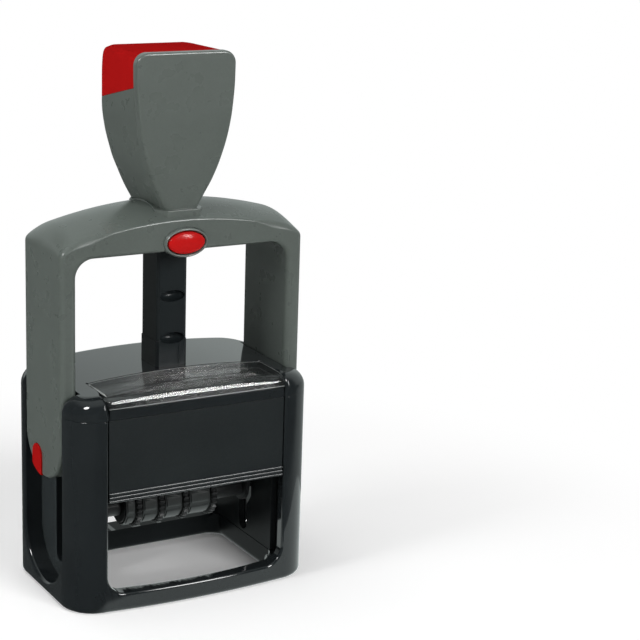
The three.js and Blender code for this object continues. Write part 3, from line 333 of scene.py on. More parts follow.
def finish(name, color, rough, metal=0.0, blotch=0.06, speckle=0.05, grain=0.00002, grain_scale=2600.0,
           wear=0.12, specular=0.5, scratches=0.0):
    """Moulded plastic, rubber, felt or steel: colour that varies, fine grain, worn edges, uneven gloss."""
    mat = bpy.data.materials.new(name)
    t = Tree(mat)
    shader = t.new("ShaderNodeBsdfPrincipled", Metallic=metal, Specular_IOR_Level=specular)
    t.new("ShaderNodeOutputMaterial", Surface=shader.outputs["BSDF"])
    where = t.new("ShaderNodeTexCoord").outputs["Object"]

    def noise(scale, detail, place=where):
        return t.new("ShaderNodeTexNoise", Scale=scale, Detail=detail, Vector=place).outputs["Fac"]

    fine = noise(grain_scale, 2)
    tint = t.new("ShaderNodeVectorMath")
    tint.operation = "SCALE"
    t.put(tint.inputs[0], color)
    blotches = t.spread(noise(45, 3), 1 - blotch, 1 + blotch)
    t.put(tint.inputs["Scale"], t.mul(blotches, t.spread(fine, 1 - speckle, 1 + speckle)))
    worn = t.spread(t.new("ShaderNodeNewGeometry").outputs["Pointiness"], 0.0, wear, 0.52, 0.62)
    worn = t.mul(worn, t.spread(noise(320, 4), 0.4, 1.3))
    mix = t.new("ShaderNodeMix")
    mix.data_type = "RGBA"
    t.put(mix.inputs["Factor"], worn)
    t.put(mix.inputs["A"], tint.outputs["Vector"])
    t.put(mix.inputs["B"], (*[min(1.0, c * 1.6 + 0.12) for c in color], 1))
    t.put(shader.inputs["Base Color"], mix.outputs["Result"])
    gloss = t.spread(noise(140, 4), rough * 0.93, rough * 1.1)
    if scratches:
        along = t.new("ShaderNodeMapping", Vector=where, Scale=(1, 1, 0.04)).outputs["Vector"]
        gloss = t.add(gloss, t.spread(noise(900, 3, along), 0.0, scratches, 0.55, 0.75))
    t.put(shader.inputs["Roughness"], t.add(gloss, t.mul(worn, 0.6)))
    bump = t.new("ShaderNodeBump", Strength=1.0, Distance=grain, Height=fine)
    t.put(shader.inputs["Normal"], bump.outputs["Normal"])
    return mat


def clear_finish(name):
    """Clear plastic with an even gloss, without grain."""
    rough = 0.03
    mat = finish(name, (0.05, 0.055, 0.054), rough, blotch=0.01, speckle=0.0, grain=0.0, grain_scale=300, wear=0.0,
                 specular=0.8)
    inputs = next(n for n in mat.node_tree.nodes if n.type == "BSDF_PRINCIPLED").inputs
    for socket in (inputs["Normal"], inputs["Roughness"]):
        for one in list(socket.links):
            mat.node_tree.links.remove(one)
    for label, value in (("Roughness", rough), ("Alpha", 0.22), ("Coat Weight", 0.6), ("Coat Roughness", 0.04)):
        inputs[label].default_value = value
    return mat


gloss_black = finish("gloss_black", (0.0125, 0.0155, 0.017), 0.07, blotch=0.1, speckle=0.02, grain=0.0000012,
                     grain_scale=700, wear=0.03)
satin_black = finish("satin_black", (0.0165, 0.0205, 0.0215), 0.36, blotch=0.08, speckle=0.1, grain=0.000006,
                     grain_scale=2400, wear=0.04, specular=0.22)
column_black = finish("column_black", (0.0125, 0.0165, 0.018), 0.3, blotch=0.08, speckle=0.06, grain=0.000004,
                      grain_scale=2400, wear=0.05, specular=0.25)
matt_black = finish("matt_black", (0.016, 0.0175, 0.018), 0.42, blotch=0.15, speckle=0.12, grain=0.000008, wear=0.05,
                    specular=0.35)
grey = finish("handle_grey_satin", (0.104, 0.122, 0.110), 0.28, blotch=0.03, speckle=0.05, grain=0.000003,
              grain_scale=1500)
# The handle grey made a fifth lighter for the bezel: painted highlight on its rim
bezel_painted_highlight_grey = finish("bezel_painted_highlight_grey", (0.125, 0.145, 0.132), 0.26, blotch=0.05, speckle=0.04, grain=0.000003, specular=0.6)
red = finish("accent_red_satin", (0.41, 0.0085, 0.0085), 0.36, blotch=0.04, speckle=0.04, grain=0.000003,
             grain_scale=1800, wear=0.02, specular=0.0)
button_red = finish("button_red_gloss", (0.5, 0.008, 0.008), 0.18, blotch=0.04, speckle=0.03, grain=0.000002,
                    grain_scale=1800, wear=0.02, specular=0.16)
steel = finish("spring_steel", (0.55, 0.56, 0.57), 0.28, metal=1.0, scratches=0.1, wear=0.0)
rubber = finish("die_rubber", (0.3, 0.045, 0.035), 0.62, blotch=0.12, speckle=0.12, grain=0.00002, wear=0.1)
band = finish("band_rubber", (0.03, 0.0345, 0.034), 0.4, blotch=0.12, speckle=0.1, grain=0.000008, wear=0.06)
felt = finish("pad_felt", (0.012, 0.012, 0.018), 0.9, blotch=0.2, speckle=0.5, grain=0.00012, grain_scale=1500,
              wear=0.0, specular=0.2)
plate_grey = finish("plate_grey", (0.16, 0.17, 0.165), 0.4, blotch=0.08, speckle=0.1, grain=0.00001, wear=0.1)
inner_black = finish("inner_black", (0.013, 0.0155, 0.0165), 0.3, blotch=0.15, speckle=0.08, grain=0.000004,
                     wear=0.04, specular=0.03)
recess_black = finish("recess_black", (0.0125, 0.0155, 0.017), 0.07, blotch=0.1, speckle=0.02, grain=0.0000012,
                      grain_scale=700, wear=0.03, specular=0.3)
ridge_black = finish("ridge_black", (0.0165, 0.0205, 0.0215), 0.2, blotch=0.08, speckle=0.05, grain=0.000003,
                     wear=0.04, specular=0.4)
# A lighter copy of the gloss black for the leg channels: painted light in the shaded channel recess
channel_painted_light = finish("channel_painted_light", (0.034, 0.041, 0.043), 0.12, blotch=0.1, speckle=0.03, grain=0.000002,
                       wear=0.03, specular=0.4)
# Opaque light grey on the clear cover's edges: painted highlight lines
painted_highlight_edge = finish("painted_highlight_edge", (0.4, 0.42, 0.41), 0.2, blotch=0.05, speckle=0.02, grain=0.0, wear=0.0)
clear = clear_finish("clear_cover")


def second_finish(obj, mat, rule):
    """Gives the faces that rule(middle in millimetres, normal) picks a second finish."""
    obj.data.materials.append(mat)
    last = len(obj.data.materials) - 1
    for face in obj.data.polygons:
        if rule(face.center / MM, face.normal):
            face.material_index = last


# Base frame
def base_plan(inset, bow=0.0):
    return plan(BASE_W - inset, BASE_D - inset, BASE_R - inset, bow)


def front_y(x):
    """Place of the bowed front at x."""
    a = BASE_W - BASE_R
    if abs(x) >= a:
        return -BASE_D + BASE_R - math.sqrt(max(0.0, BASE_R**2 - (abs(x) - a) ** 2))
    t = (x + a) / (2 * a)
    return -BASE_D - 4 * BASE_BOW * t * (1 - t)


def window_outline(sill, grow):
    a, r, w = WINDOW_X - WINDOW_R, WINDOW_R + grow, WINDOW_X + grow
    z = sill + WINDOW_R
    points = [(w, SEAM + 2), (0, SEAM + 2), (-w, SEAM + 2), (-w, z + 40), (-w, z + 20)]
    points += arc(-a, z, r, PI, PI * 1.5, 18)
    points += [(-a + 2 * a * k / 32, sill - grow) for k in range(1, 32)]
    return points + arc(a, z, r, PI * 1.5, PI * 2, 18) + [(w, z + 20), (w, z + 40)]


def window_tool(sill, side):
    """Opening in the front (side -1) or the rear, whose outer edge is rounded along the bowed face."""
    r = 0.9

    def ring(grow, deep):
        return [(x, side * -(front_y(x) + deep), z) for x, z in window_outline(sill, grow)]

    rings = [[(x, side * 40, z) for x, z in window_outline(sill, r)], ring(r, -0.4)]
    rings += [ring(r * (1 - s), r * (1 - c)) for c, s in quarter(7)]
    rings.append([(x, PRINT_D, z) for x, z in window_outline(sill, 0)])
    return loft("tool", rings)


def channel_frames(side):
    """Edge of a leg channel: down its rear edge, round its foot and up its front edge, over the deck's edge."""
    half, foot = BOW_D + SLIDE, CHANNEL_END + BOW_D + SLIDE
    rear_r, front_r = 1.2, 1.7
    path = [(LEG_IN - GAP, crown(LEG_IN - GAP), 0.0, 1.0)]
    for c, s in quarter(10):
        x = BASE_W - DECK_EDGE * (1 - s)
        path.append((x, crown(x) - DECK_EDGE * (1 - c), s, c))
    path.append((BASE_W, 40, 1.0, 0.0))
    frames = [((side * x, half, z), (0, -1, 0), (side * nx, 0, nz), rear_r) for x, z, nx, nz in path]
    for k in range(41):
        turn = -PI * k / 40
        c, s = math.cos(turn), math.sin(turn)
        r = rear_r + (front_r - rear_r) * k / 40
        frames.append(((side * BASE_W, half * c, foot + half * s), (0, -c, -s), (side, 0, 0), r))
    return frames + [((side * x, -half, z), (0, 1, 0), (side * nx, 0, nz), front_r) for x, z, nx, nz in reversed(path)]


def print_opening():
    """The open print window: flared at the foot, with a lip rounded towards the front sill."""
    mouth, lip, rings = 2.4, 2.6, []
    for c, s in quarter(8):
        flare = mouth * (1 - s)
        outline = plan(PRINT_W + flare, PRINT_D + flare, PRINT_R + flare, PRINT_BOW, 0)
        rings.append(level(outline, mouth * (1 - c)))
    straight = plan(PRINT_W, PRINT_D, PRINT_R, PRINT_BOW, 0)
    for c, s in quarter(7):
        wide = plan(PRINT_W, PRINT_D + lip * (1 - c), PRINT_R, PRINT_BOW, 0)
        z = FRONT_SILL - lip + lip * s
        rings.append([(*(p if p[1] > -15 else q), z) for p, q in zip(straight, wide)])
    return loft("tool", [[(x, y, -2) for x, y, z in rings[0]]] + rings + [[(x, y, LEDGE + 2) for x, y, z in rings[-1]]])


def base_frame():
    fillet, seam_r = 1.8, 0.22
    levels = [(fillet * (1 - s), fillet * (1 - c)) for c, s in quarter(8)]
    levels += [(seam_r * (1 - c), SEAM - HAIR / 2 - seam_r * (1 - s)) for c, s in quarter(4)]
    body = loft("base_shell", [level(base_plan(inset, BASE_BOW), z) for inset, z in levels])
    pin = slot(PIN_R + 0.1, PIVOT - TRAVEL, PIVOT)
    half = BOW_D + SLIDE
    channel = [(half, DECK), (-half, DECK)] + arc(0, CHANNEL_END + half, half, PI, 2 * PI, 48)
    tools = [
        block(-WALL_X, WALL_X, -CAVITY_D, CAVITY_D, LEDGE, SEAM + 2),
        print_opening(),
        window_tool(FRONT_SILL, -1),
        window_tool(REAR_SILL, 1),
        block(-WALL_X, WALL_X, 0, 40, CART_LOW - GAP, SEAM + 2),  # way of the ink cartridge
    ]
    for side in (-1, 1):
        tools.append(side_prism("tool", channel, side, LEG_IN - GAP, FAR))
        tools.append(side_prism("tool", pin, side, WALL_X - 2, LEG_IN))
        tools.append(edge_tool(channel_frames(side)))
    boolean(body, tools)
    dress(body, "base", gloss_black, ["base_frame"])
    second_finish(body, inner_black, lambda p, n: abs(p.x) < WALL_X + 0.1 and p.z > 0.2
                  and (-15 < p.y < CAVITY_D + 0.1 or (-CAVITY_D - 0.1 < p.y < 0 and p.z > LEDGE - 0.1)))
    # The leg channels get the lighter copy of the gloss black: painted light in their shaded recess
    second_finish(body, channel_painted_light, lambda p, n: 35 < abs(p.x) < LEG_IN and abs(p.y) < BOW_D + 0.6 and p.z > 3)
    return body


# Top cover
def recess_frames(side):
    """Inner top edge of a front pillar: along the deck, over the rounded front and down."""
    deck, small, big, start, end = crown(WINDOW_X), 0.12, 2.1, -17.6, DECK_EDGE - BASE_D
    frames = [((RECESS_BACK + k, deck), (0, 0, 1), small) for k in (0.5, -4, -8)]
    for k in range(9):
        y = start + (end - start) * k / 8
        frames.append(((y, deck), (0, 0, 1), small + (big - small) * smoothstep(y, start, end)))
    for k, (c, s) in enumerate(quarter(12)[1:], 1):
        frames.append(((-BASE_D + DECK_EDGE * (1 - s), deck - DECK_EDGE * (1 - c)), (0, -s, c), big - 0.6 * k / 12))
    frames += [((-BASE_D, z), (0, -1, 0), 0.9) for z in (SEAM + 1, SEAM - 2)]
    return [((side * WINDOW_X, *place), (-side, 0, 0), normal, r) for place, normal, r in frames]


def top_cover():
    seam_edge = ((0.15, 0), (0.04, 0.05), (0, 0.15))
    rings = [level(base_plan(inset), SEAM + HAIR / 2 + rise) for inset, rise in seam_edge]
    for c, s in quarter(16):
        rings.append([(x, y, crown(x) - DECK_EDGE * (1 - s)) for x, y in base_plan(DECK_EDGE * (1 - c))])
    rings.append([(x, y, DECK + 2) for x, y, z in rings[-1]])
    body = loft("top_cover_shell", rings)
    half, low = BASE_W + 1, SEAM - 1
    under = [(-half, low), (half, low)] + [(x, crown(x)) for x in (half - half * k / 24 for k in range(49))]
    boolean(body, [prism("tool", under, "y", -FAR, FAR)], "INTERSECT")
    step_y, lip_y = -22.3, -26.1
    tools = [
        block(-WALL_X, WALL_X, -7.7, CAVITY_D, low, 70),  # hollow
        block(-WALL_X, WALL_X, step_y, -5.7, low, 66.6),  # lower hollow under the recess
        block(-WINDOW_X, WINDOW_X, -FAR, RECESS_BACK, RECESS_FLOOR, 80),  # recess
        block(-WINDOW_X, WINDOW_X, -FAR, step_y, 67.3, 80),  # step under the clear cover's roll
        block(-WINDOW_X, WINDOW_X, -FAR, lip_y, low, 80),  # open front
    ]
    for side in (-1, 1):
        ends = sorted((side * (LEG_IN - GAP), side * FAR))
        tools.append(block(*ends, -BOW_D - SLIDE, BOW_D + SLIDE, SEAM - 3, 80))
        tools.append(edge_tool(channel_frames(side)))
        tools.append(edge_tool(recess_frames(side)))
    boolean(body, tools)
    dress(body, "base", gloss_black, ["top_cover"])
    second_finish(body, recess_black, lambda p, n: abs(p.x) < WINDOW_X + 0.05 and p.y < RECESS_BACK + 0.1
                  and p.z < RECESS_FLOOR + 0.5 and n.z > 0.9)
    return body


# Clear cover over the imprint card
COVER_FRONT, COVER_LOW, COVER_WALL = -26.4, 67.6, 1.2


def cover_section(x, inset, low):
    """Section at x, in (y, z): flat top, a small step, and a roll whose foot stays level while its top is crowned."""
    front, rear, top, edge, foot = COVER_FRONT, RECESS_BACK - GAP, crown(x), 0.3, 68.0
    step = top - 0.3
    roll = step - foot
    middle = front + roll
    front, rear, top, step, r = front + inset, rear - inset, top - inset, step - inset, roll - inset
    points = [(front + 2, low), (rear, low), (rear, top - edge - 0.04)]
    points += arc(rear - edge, top - edge, edge, 0, PI / 2, 6)
    points += [(rear - edge - 0.04, top), (middle + 1.14, top), (middle + 1.1, top), (middle + 0.6, top - 0.15)]
    points += [(middle + 0.04, step)] + arc(middle, foot, r, PI / 2, PI, 24)
    return points + arc(front + 0.25, low + 0.25, 0.25, PI, PI * 1.5, 6)


def window_cover():
    half, edge = WINDOW_X - GAP, 0.3
    stops = [(half, edge + 0.04)] + [(half - edge + edge * s, edge - edge * c) for c, s in reversed(quarter(6))]
    spans = [(-x, s) for x, s in stops] + [(-half + edge + (2 * half - 2 * edge) * k / 40, 0.0) for k in range(1, 40)]
    spans += [(x, s) for x, s in reversed(stops)]
    outer = loft("imprint_window_shell",
                 [[(x, y, z) for y, z in cover_section(x, s, COVER_LOW + s)] for x, s in spans])
    inside = [(-half + COVER_WALL) + 2 * (half - COVER_WALL) * k / 40 for k in range(41)]
    inner = loft("tool", [[(x, y, z) for y, z in cover_section(x, COVER_WALL, 60)] for x in inside])
    boolean(outer, [inner, block(-FAR, FAR, -22.6, 0, 50, RECESS_FLOOR + GAP)])
    dress(outer, "window_cover", clear, ["imprint_window_cover"], 20, False)
    rear = RECESS_BACK - GAP - 0.35

    # Faces along the rear and end top edges and along the front foot, which get the painted highlight
    def highlight_edge_faces(p, n):
        above = p.z > crown(p.x) - 0.33 and (p.y > rear or abs(p.x) > half - 0.33) and n.z > 0.05
        return above or (p.z < COVER_LOW + 0.24 and p.y < COVER_FRONT + 0.35)

    second_finish(outer, painted_highlight_edge, highlight_edge_faces)
    return outer


# Panels
def front_panel():
    back, face, half = -23.9, -26.1, WINDOW_X - GAP
    low, high, ridge_r, pitch = 36.9, SEAM - 0.15, 0.45, 1.25
    points = [(back, high), (face, high)]
    for k in (2, 1, 0):
        points += arc(face, low + ridge_r + pitch * k, ridge_r, PI / 2, PI * 1.5, 8)
    points += [(back, low)]
    body = prism("front_panel_face", points, "x", -half, half)
    soften(body, lambda p, e: 0.3 if abs(p.x) > half - 0.1 else 0.15, 0.3, 2, 50)
    dress(body, "base", satin_black, ["front_panel"])
    second_finish(body, ridge_black, lambda p, n: p.z < low + 3 * pitch + 0.15)
    return body


# Handle bow: arch and legs with a crowned top that rises to the knob's foot
def bow_outline():
    r, shoulder = SHOULDER_R, LEG_OUT - SHOULDER_R
    edge_top, crown_z = ARCH_TOP - ARCH_DROP, ARCH_TOP + ARCH_DROP
    lean = math.atan2(crown_z - edge_top, shoulder)
    edge_x = shoulder + r * math.sin(lean)
    shoulder_z = edge_top - r * math.cos(lean)
    inner_r, low = 6, LEG_END - 2
    inner_x, inner_z = LEG_IN - inner_r, ARCH_UNDER - inner_r
    points = [(-LEG_OUT, low), (-LEG_IN, low)]
    points += arc(-inner_x, inner_z, inner_r, PI, PI / 2, 18)
    points += arc(inner_x, inner_z, inner_r, PI / 2, 0, 18)
    points += [(LEG_IN, low), (LEG_OUT, low)]
    points += arc(shoulder, shoulder_z, r, 0, PI / 2 - lean, 22)
    points += curve((edge_x, edge_top), (-edge_x, edge_top), (0, crown_z), 110)
    points += arc(-shoulder, shoulder_z, r, PI / 2 + lean, PI, 22)
    return points


def normals_of(points):
    """Outward unit normals of a counter-clockwise outline, longer at corners so that offsets stay parallel."""
    out = []
    for i, (x, z) in enumerate(points):
        (ax, az), (bx, bz) = points[i - 1], points[(i + 1) % len(points)]
        before = math.hypot(x - ax, z - az)
        after = math.hypot(bx - x, bz - z)
        tx = (x - ax) / before + (bx - x) / after
        tz = (z - az) / before + (bz - z) / after
        size = math.hypot(tx, tz)
        stretch = max(0.4, size / 2)
        out.append((tz / size / stretch, -tx / size / stretch))
    return out


def foot_outline():
    w, d, corner_w, corner_d = 7.4, 12.6, 5.1, 9.3
    corners = [(-corner_w, -d), (corner_w, -d), (w, -corner_d), (w, corner_d)]
    corners += [(-x, -y) for x, y in corners]
    points = []
    for (ax, ay), (bx, by) in zip(corners, corners[1:] + corners[:1]):
        count = math.ceil(math.hypot(bx - ax, by - ay) / 1.2)
        points += [(ax + (bx - ax) * k / count, ay + (by - ay) * k / count) for k in range(count)]
    return points


def arch_height(x, y):
    """Crowned top of the arch."""
    shoulder = LEG_OUT - SHOULDER_R
    t = x / (shoulder + SHOULDER_R * math.sin(math.atan2(2 * ARCH_DROP, shoulder)))
    return ARCH_TOP - ARCH_DROP * t * t - ARCH_CROWN * (y / BOW_D) ** 2


def grown_foot(grow, part, rise=0.0):
    """Outline of the knob's foot, at a part of the way from the arch's top up to the collar's, and some rise."""
    outline, top, out = foot_outline(), COLLAR_TOP + 0.5, []
    for (x, y), (nx, ny) in zip(outline, normals_of(outline)):
        width = grow * (0.25 + 0.75 * smoothstep(top - arch_height(x, y), -0.6, 0.8))
        u, v = x + nx * width, y + ny * width
        low = arch_height(u, v) - 0.3
        out.append((u, v, low + (max(top, low + 0.4) - low) * part + rise))
    return out


def edge_radius(x, z):
    """A crisp crease along the top of the arch, softer at the shoulders and down the legs."""
    if z > ARCH_UNDER + 4:
        return 0.4 + 1.3 * smoothstep(abs(x), 24, 33)
    return 1.7


def bend(x, y, z):
    """Crowns the arch from front to rear."""
    return x, y, z - ARCH_CROWN * smoothstep(z, ARCH_UNDER, ARCH_TOP - ARCH_DROP) * (y / BOW_D) ** 2


def leg_end():
    """Tool that keeps what lies inside the rounded foot of the legs."""
    wide, middle = BOW_D + 1, LEG_END + BOW_D
    points = [(wide, 200), (-wide, 200), (-wide, middle), (-BOW_D, middle)]
    points += arc(0, middle, BOW_D, PI, 2 * PI, 48)[1:] + [(wide, middle)]
    return prism("tool", points, "x", -FAR, FAR)


def end_frames(side):
    """Outer edge round the foot of a leg."""
    frames = []
    for k in range(45):
        turn = PI * k / 44
        c, s = math.cos(turn), math.sin(turn)
        r = 0.1 + 0.9 * smoothstep(s, 0.0, 0.35)
        place = (side * LEG_OUT, BOW_D * c, LEG_END + BOW_D - BOW_D * s)
        frames.append((place, (0, c, -s), (side, 0, 0), r))
    return frames


def handle_bow():
    outline = bow_outline()
    normals = normals_of(outline)

    def ring(y, depth):
        points = []
        for (x, z), (nx, nz) in zip(outline, normals):
            r = edge_radius(x, z)
            inset = r - math.sqrt(max(0.0, r * r - (r - depth * r) ** 2))
            points.append((x - nx * inset, y - math.copysign(depth * r, y), z - nz * inset))
        return points

    cuts = [1 - c for c, s in quarter(8)]
    rings = [ring(-BOW_D, c) for c in cuts]
    front, rear = rings[-1], ring(BOW_D, 1.0)
    for k in range(1, 28):
        t = k / 28
        rings.append([(a[0], a[1] + (b[1] - a[1]) * t, a[2]) for a, b in zip(front, rear)])
    rings += [ring(BOW_D, c) for c in reversed(cuts)]
    body = loft("handle_bow_shell", [[bend(*p) for p in one] for one in rings])
    boolean(body, [leg_end()], "INTERSECT")
    collar = [(1.08, 0.0, -1.5), (1.06, 0.0, 0.0), (1.0, 1.0, -0.12), (0.9, 1.0, 0.04), (0.76, 1.0, 0.1),
              (0.4, 1.0, 0.12), (0.0, 1.0, 0.13)]
    boolean(body, [loft("tool", [grown_foot(*row) for row in collar])], "UNION")
    tools = [
        block(-SHAFT_W, SHAFT_W, -SHAFT_D, SHAFT_D, ARCH_UNDER - 2, 130),  # way of the column
        block(-3.3, 3.3, -11.6, 0, ARCH_UNDER - 2, 114.3),  # way of the latch
        prism("tool", [(x, z + BUTTON_Z) for x, z in ellipse(7.7, 4.95)], "y", -20, -9.3),  # hole of the button's ring
    ]
    for side in (-1, 1):
        pin = [(y, z + PIVOT) for y, z in ellipse(PIN_R, PIN_R, 48)]
        tools.append(side_prism("tool", pin, side, LEG_IN - 2, LEG_IN + 3.1))
        tools.append(side_prism("tool", insert_outline(0.12), side, INSERT_IN - GAP, FAR))
        tools.append(edge_tool(end_frames(side)))
    boolean(body, tools)
    return dress(body, "handle", grey, ["handle_bow"], 24)


def insert_outline(grow):
    half, middle = 3.7 + grow, 4.4
    points = [(middle - half, LEG_END - 2), (middle + half, LEG_END - 2)]
    return points + arc(middle, 49 - half + grow, half, 0, PI, 24)


def leg_insert(side):
    label = "left" if side < 0 else "right"
    body = side_prism(f"{label}_insert_face", insert_outline(0), side, INSERT_IN, BASE_W)
    boolean(body, [leg_end()], "INTERSECT")
    soften(body, lambda p, e: 0.45, 0.45, 3)
    return dress(body, "handle", red, [f"{label}_leg_insert"])


# Knob: shares of its height, half width, front and rear, and the plate's half width
KNOB_ROWS = [
    (0, 0.392, 0.79, 0.869), (0.096, 0.547, 0.83, 0.924), (0.19, 0.671, 0.87, 0.966), (0.31, 0.818, 0.92, 0.993),
    (0.482, 0.941, 0.972, 1), (0.64, 0.985, 1, 1), (0.81, 0.985, 1, 1), (0.91, 0.975, 1, 0.997),
    (0.958, 0.962, 1, 0.988), (0.988, 0.93, 0.998, 0.965), (1, 0.85, 0.98, 0.905),
]
PLATE_ROWS = [
    (0, 0.305), (0.096, 0.455), (0.19, 0.6), (0.31, 0.735), (0.482, 0.875), (0.64, 0.952), (0.81, 0.994), (0.92, 1),
]
PLATE_FULL, FOOT_SINK = 0.92, 1.5


def between(rows, t):
    """Smooth values of a table at t, without overshoot."""
    for i in range(len(rows) - 1):
        if t <= rows[i + 1][0] + 1e-9:
            break
    a, b = rows[i], rows[i + 1]
    h = b[0] - a[0]
    u = (t - a[0]) / h
    values = []
    for k in range(1, len(a)):
        slope = (b[k] - a[k]) / h

        def tangent(j):
            if j == 0 or j == len(rows) - 1:
                return slope
            before = (rows[j][k] - rows[j - 1][k]) / (rows[j][0] - rows[j - 1][0])
            after = (rows[j + 1][k] - rows[j][k]) / (rows[j + 1][0] - rows[j][0])
            return 0.0 if before * after <= 0 else 2 * before * after / (before + after)

        m0, m1 = tangent(i) * h, tangent(i + 1) * h
        values.append(
            (2 * u**3 - 3 * u**2 + 1) * a[k] + (u**3 - 2 * u**2 + u) * m0 + (3 * u**2 - 2 * u**3) * b[k]
            + (u**3 - u**2) * m1
        )
    return values


def knob_front(z):
    t = max(0.0, min(1.0, (z - KNOB_FOOT) / KNOB_H))
    return -KNOB_FRONT * (1.0 if t > PLATE_FULL else between(KNOB_ROWS, t)[1])


def plate_half(t):
    return KNOB_W * (1.0 if t > PLATE_FULL else between(PLATE_ROWS, t)[0])


def cap_drop(x, y):
    """How far the top of the cap lies under its crest: flat along the plate, domed behind it."""
    return (0.6 + 0.5 * smoothstep(y, -KNOB_FRONT, 2)) * (x / KNOB_W) ** 2


def knob_ring(t, drop_z=0.0):
    """Level of the knob: its sides slant from the plate's edge out to the rear."""
    w, f, r = between(KNOB_ROWS, t)
    half, front, rear = w * KNOB_W, f * KNOB_FRONT, r * KNOB_REAR
    near = min(half, plate_half(t) + 0.25)
    rear_r, front_r = w * (4.8 - 1.8 * smoothstep(t, 0.3, 0.6)), 0.4
    points = arc(near - front_r, -front + front_r, front_r, -PI / 2, 0, 5)
    points += arc(half - rear_r, rear - rear_r, rear_r, 0, PI / 2, 14)
    points += arc(-half + rear_r, rear - rear_r, rear_r, PI / 2, PI, 14)
    points += arc(-near + front_r, -front + front_r, front_r, PI, PI * 1.5, 5)
    crowned = smoothstep(t, 0.84, 1)
    return [(x, y, KNOB_FOOT + t * KNOB_H - drop_z - crowned * cap_drop(x, y)) for x, y in points]


def knob_form(name):
    steps = [k / 60 * 0.9 for k in range(61)] + [0.9 + 0.1 * s for c, s in quarter(18)[1:]]
    rings = [knob_ring(0, FOOT_SINK)] + [knob_ring(min(1.0, t)) for t in steps]
    for s in (0.93, 0.8, 0.6, 0.4, 0.2, 0.05):
        inner = [(x * s, 1 + (y - 1) * s) for x, y, z in knob_ring(1.0)]
        rings.append([(x, y, KNOB_TOP - cap_drop(x, y)) for x, y in inner])
    return loft(name, rings)


def seam_z(y, shift):
    """Slanting seam under the cap, from its height at the front to its height at the rear."""
    front, rear = 10.8, 17.2
    return KNOB_TOP - front - (rear - front) / (KNOB_FRONT + KNOB_REAR) * (y + KNOB_FRONT) + shift


def knob_part(name, above):
    body = knob_form(name)
    shift = HAIR if above else -HAIR
    end = 0 if above else 250
    wedge = [(-FAR, end), (FAR, end), (FAR, seam_z(FAR, shift)), (-FAR, seam_z(-FAR, shift))]
    return boolean(body, [
        prism("tool", wedge, "x", -FAR, FAR),
        block(-SHAFT_W, SHAFT_W, -SHAFT_D, SHAFT_D, COLLAR_TOP - 2, SHAFT_SPACE),
        prism("tool", ellipse(BORE_R, BORE_R, 48), "z", COLLAR_TOP - 1, BORE_TOP),
    ])


def knob():
    """Body and cap, with the outer edges of their seam softened."""
    seam_r = 0.2
    body = knob_part("knob_body_shell", False)
    soften(body, lambda p, e: seam_r if p.z > 155 and max(abs(p.x), abs(p.y)) > 8 else 0.0, seam_r, 2)
    dress(body, "handle", grey, ["knob_body"])
    cap = knob_part("knob_cap_shell", True)
    soften(cap, lambda p, e: seam_r if p.z < 166 and max(abs(p.x), abs(p.y)) > 8 else 0.0, seam_r, 2)
    dress(cap, "handle", red, ["knob_cap"])


def face_plate():
    """Slab that follows the knob's front, flush with its sides low down and rounded along its edge."""
    thick = 2.8
    steps = [PLATE_FULL * k / 80 for k in range(81)]
    half = [(plate_half(0), KNOB_FOOT - FOOT_SINK)] + [(plate_half(t), KNOB_FOOT + t * KNOB_H) for t in steps]
    r = KNOB_TOP - half[-1][1]
    half += arc(KNOB_W - r, KNOB_TOP - r, r, 0, PI / 2, 16)[1:]
    outline = half + [(-x, z) for x, z in reversed(half)]
    normals = normals_of(outline)
    count, full = len(half), len(outline)
    bm = bmesh.new()

    def flare(z):
        return 0.42 * (1 - smoothstep(z, KNOB_FOOT + 12, KNOB_FOOT + 34))

    rows = [[bm.verts.new((x + math.copysign(flare(z), x), knob_front(z) - HAIR, z)) for x, z in outline]]
    for c, s in quarter(10):
        row = []
        for (x, z), (nx, nz) in zip(outline, normals):
            low = 1 - smoothstep(z, KNOB_FOOT + 4, KNOB_FOOT + 30)
            size = 0.75 + 1.35 * low * (1 if x < 0 else 0.4)
            inset = size * (1 - c)
            u, v = x - nx * inset, z - nz * inset * (1 - smoothstep(-z, -KNOB_FOOT, -KNOB_FOOT + 1.2))
            spare = flare(z) * (1 - size / thick) * 0.9 * c
            y = knob_front(v) - thick + size * (1 - s)
            row.append(bm.verts.new((u + math.copysign(spare, x), y, v)))
        rows.append(row)
    for a, b in zip(rows, rows[1:]):
        for i in range(full):
            j = (i + 1) % full
            bm.faces.new((a[i], a[j], b[j], b[i]))
    for row in (rows[0], rows[-1]):
        for i in range(count - 1):
            bm.faces.new((row[i], row[i + 1], row[full - 2 - i], row[full - 1 - i]))
    body = new_object("knob_face_shell", bm)
    return dress(body, "handle", grey, ["knob_face_plate"], 40)


# Guide column
def column():
    def outline(extra):
        w, f, d, c = COLUMN_W + extra, COLUMN_D, COLUMN_D + extra, 0.9
        return [(-w + c, -f), (w - c, -f), (w, -f + c), (w, d - c), (w - c, d), (-w + c, d), (-w, d - c), (-w, -f + c)]

    body = prism("guide_column_shaft", outline(0), "z", DECK - 0.2, COLUMN_TOP)
    boolean(body, [
        prism("tool", outline(0.2), "z", DECK - 0.2, DECK + 8.4),
        block(2.5, 2.9, -6.42, -5, DECK + 0.6, DECK + 9.2),
        prism("tool", ellipse(SPIGOT_R, SPIGOT_R, 40), "z", COLUMN_TOP - 0.5, COLUMN_TOP + 6),
    ], "UNION")
    notches, half_w, half_h, deep = [], 4.4, 1.9, 3.2
    for z in NOTCHES:
        rings = []
        for k in range(1, 24):
            turn = -PI / 2 + PI * k / 24
            r, rise = math.cos(turn), half_h * math.sin(turn)
            rings.append([(x, y - COLUMN_D, z + rise) for x, y in ellipse(half_w * r, deep * r, 48)])
        notches.append(loft("tool", rings))
    boolean(body, notches)
    soften(body, lambda p, e: 0.15 if 2.3 < p.x < 3.1 and p.z < 84 else 0.3, 0.3, 3, 30)
    return dress(body, "base", column_black, ["guide_column"])


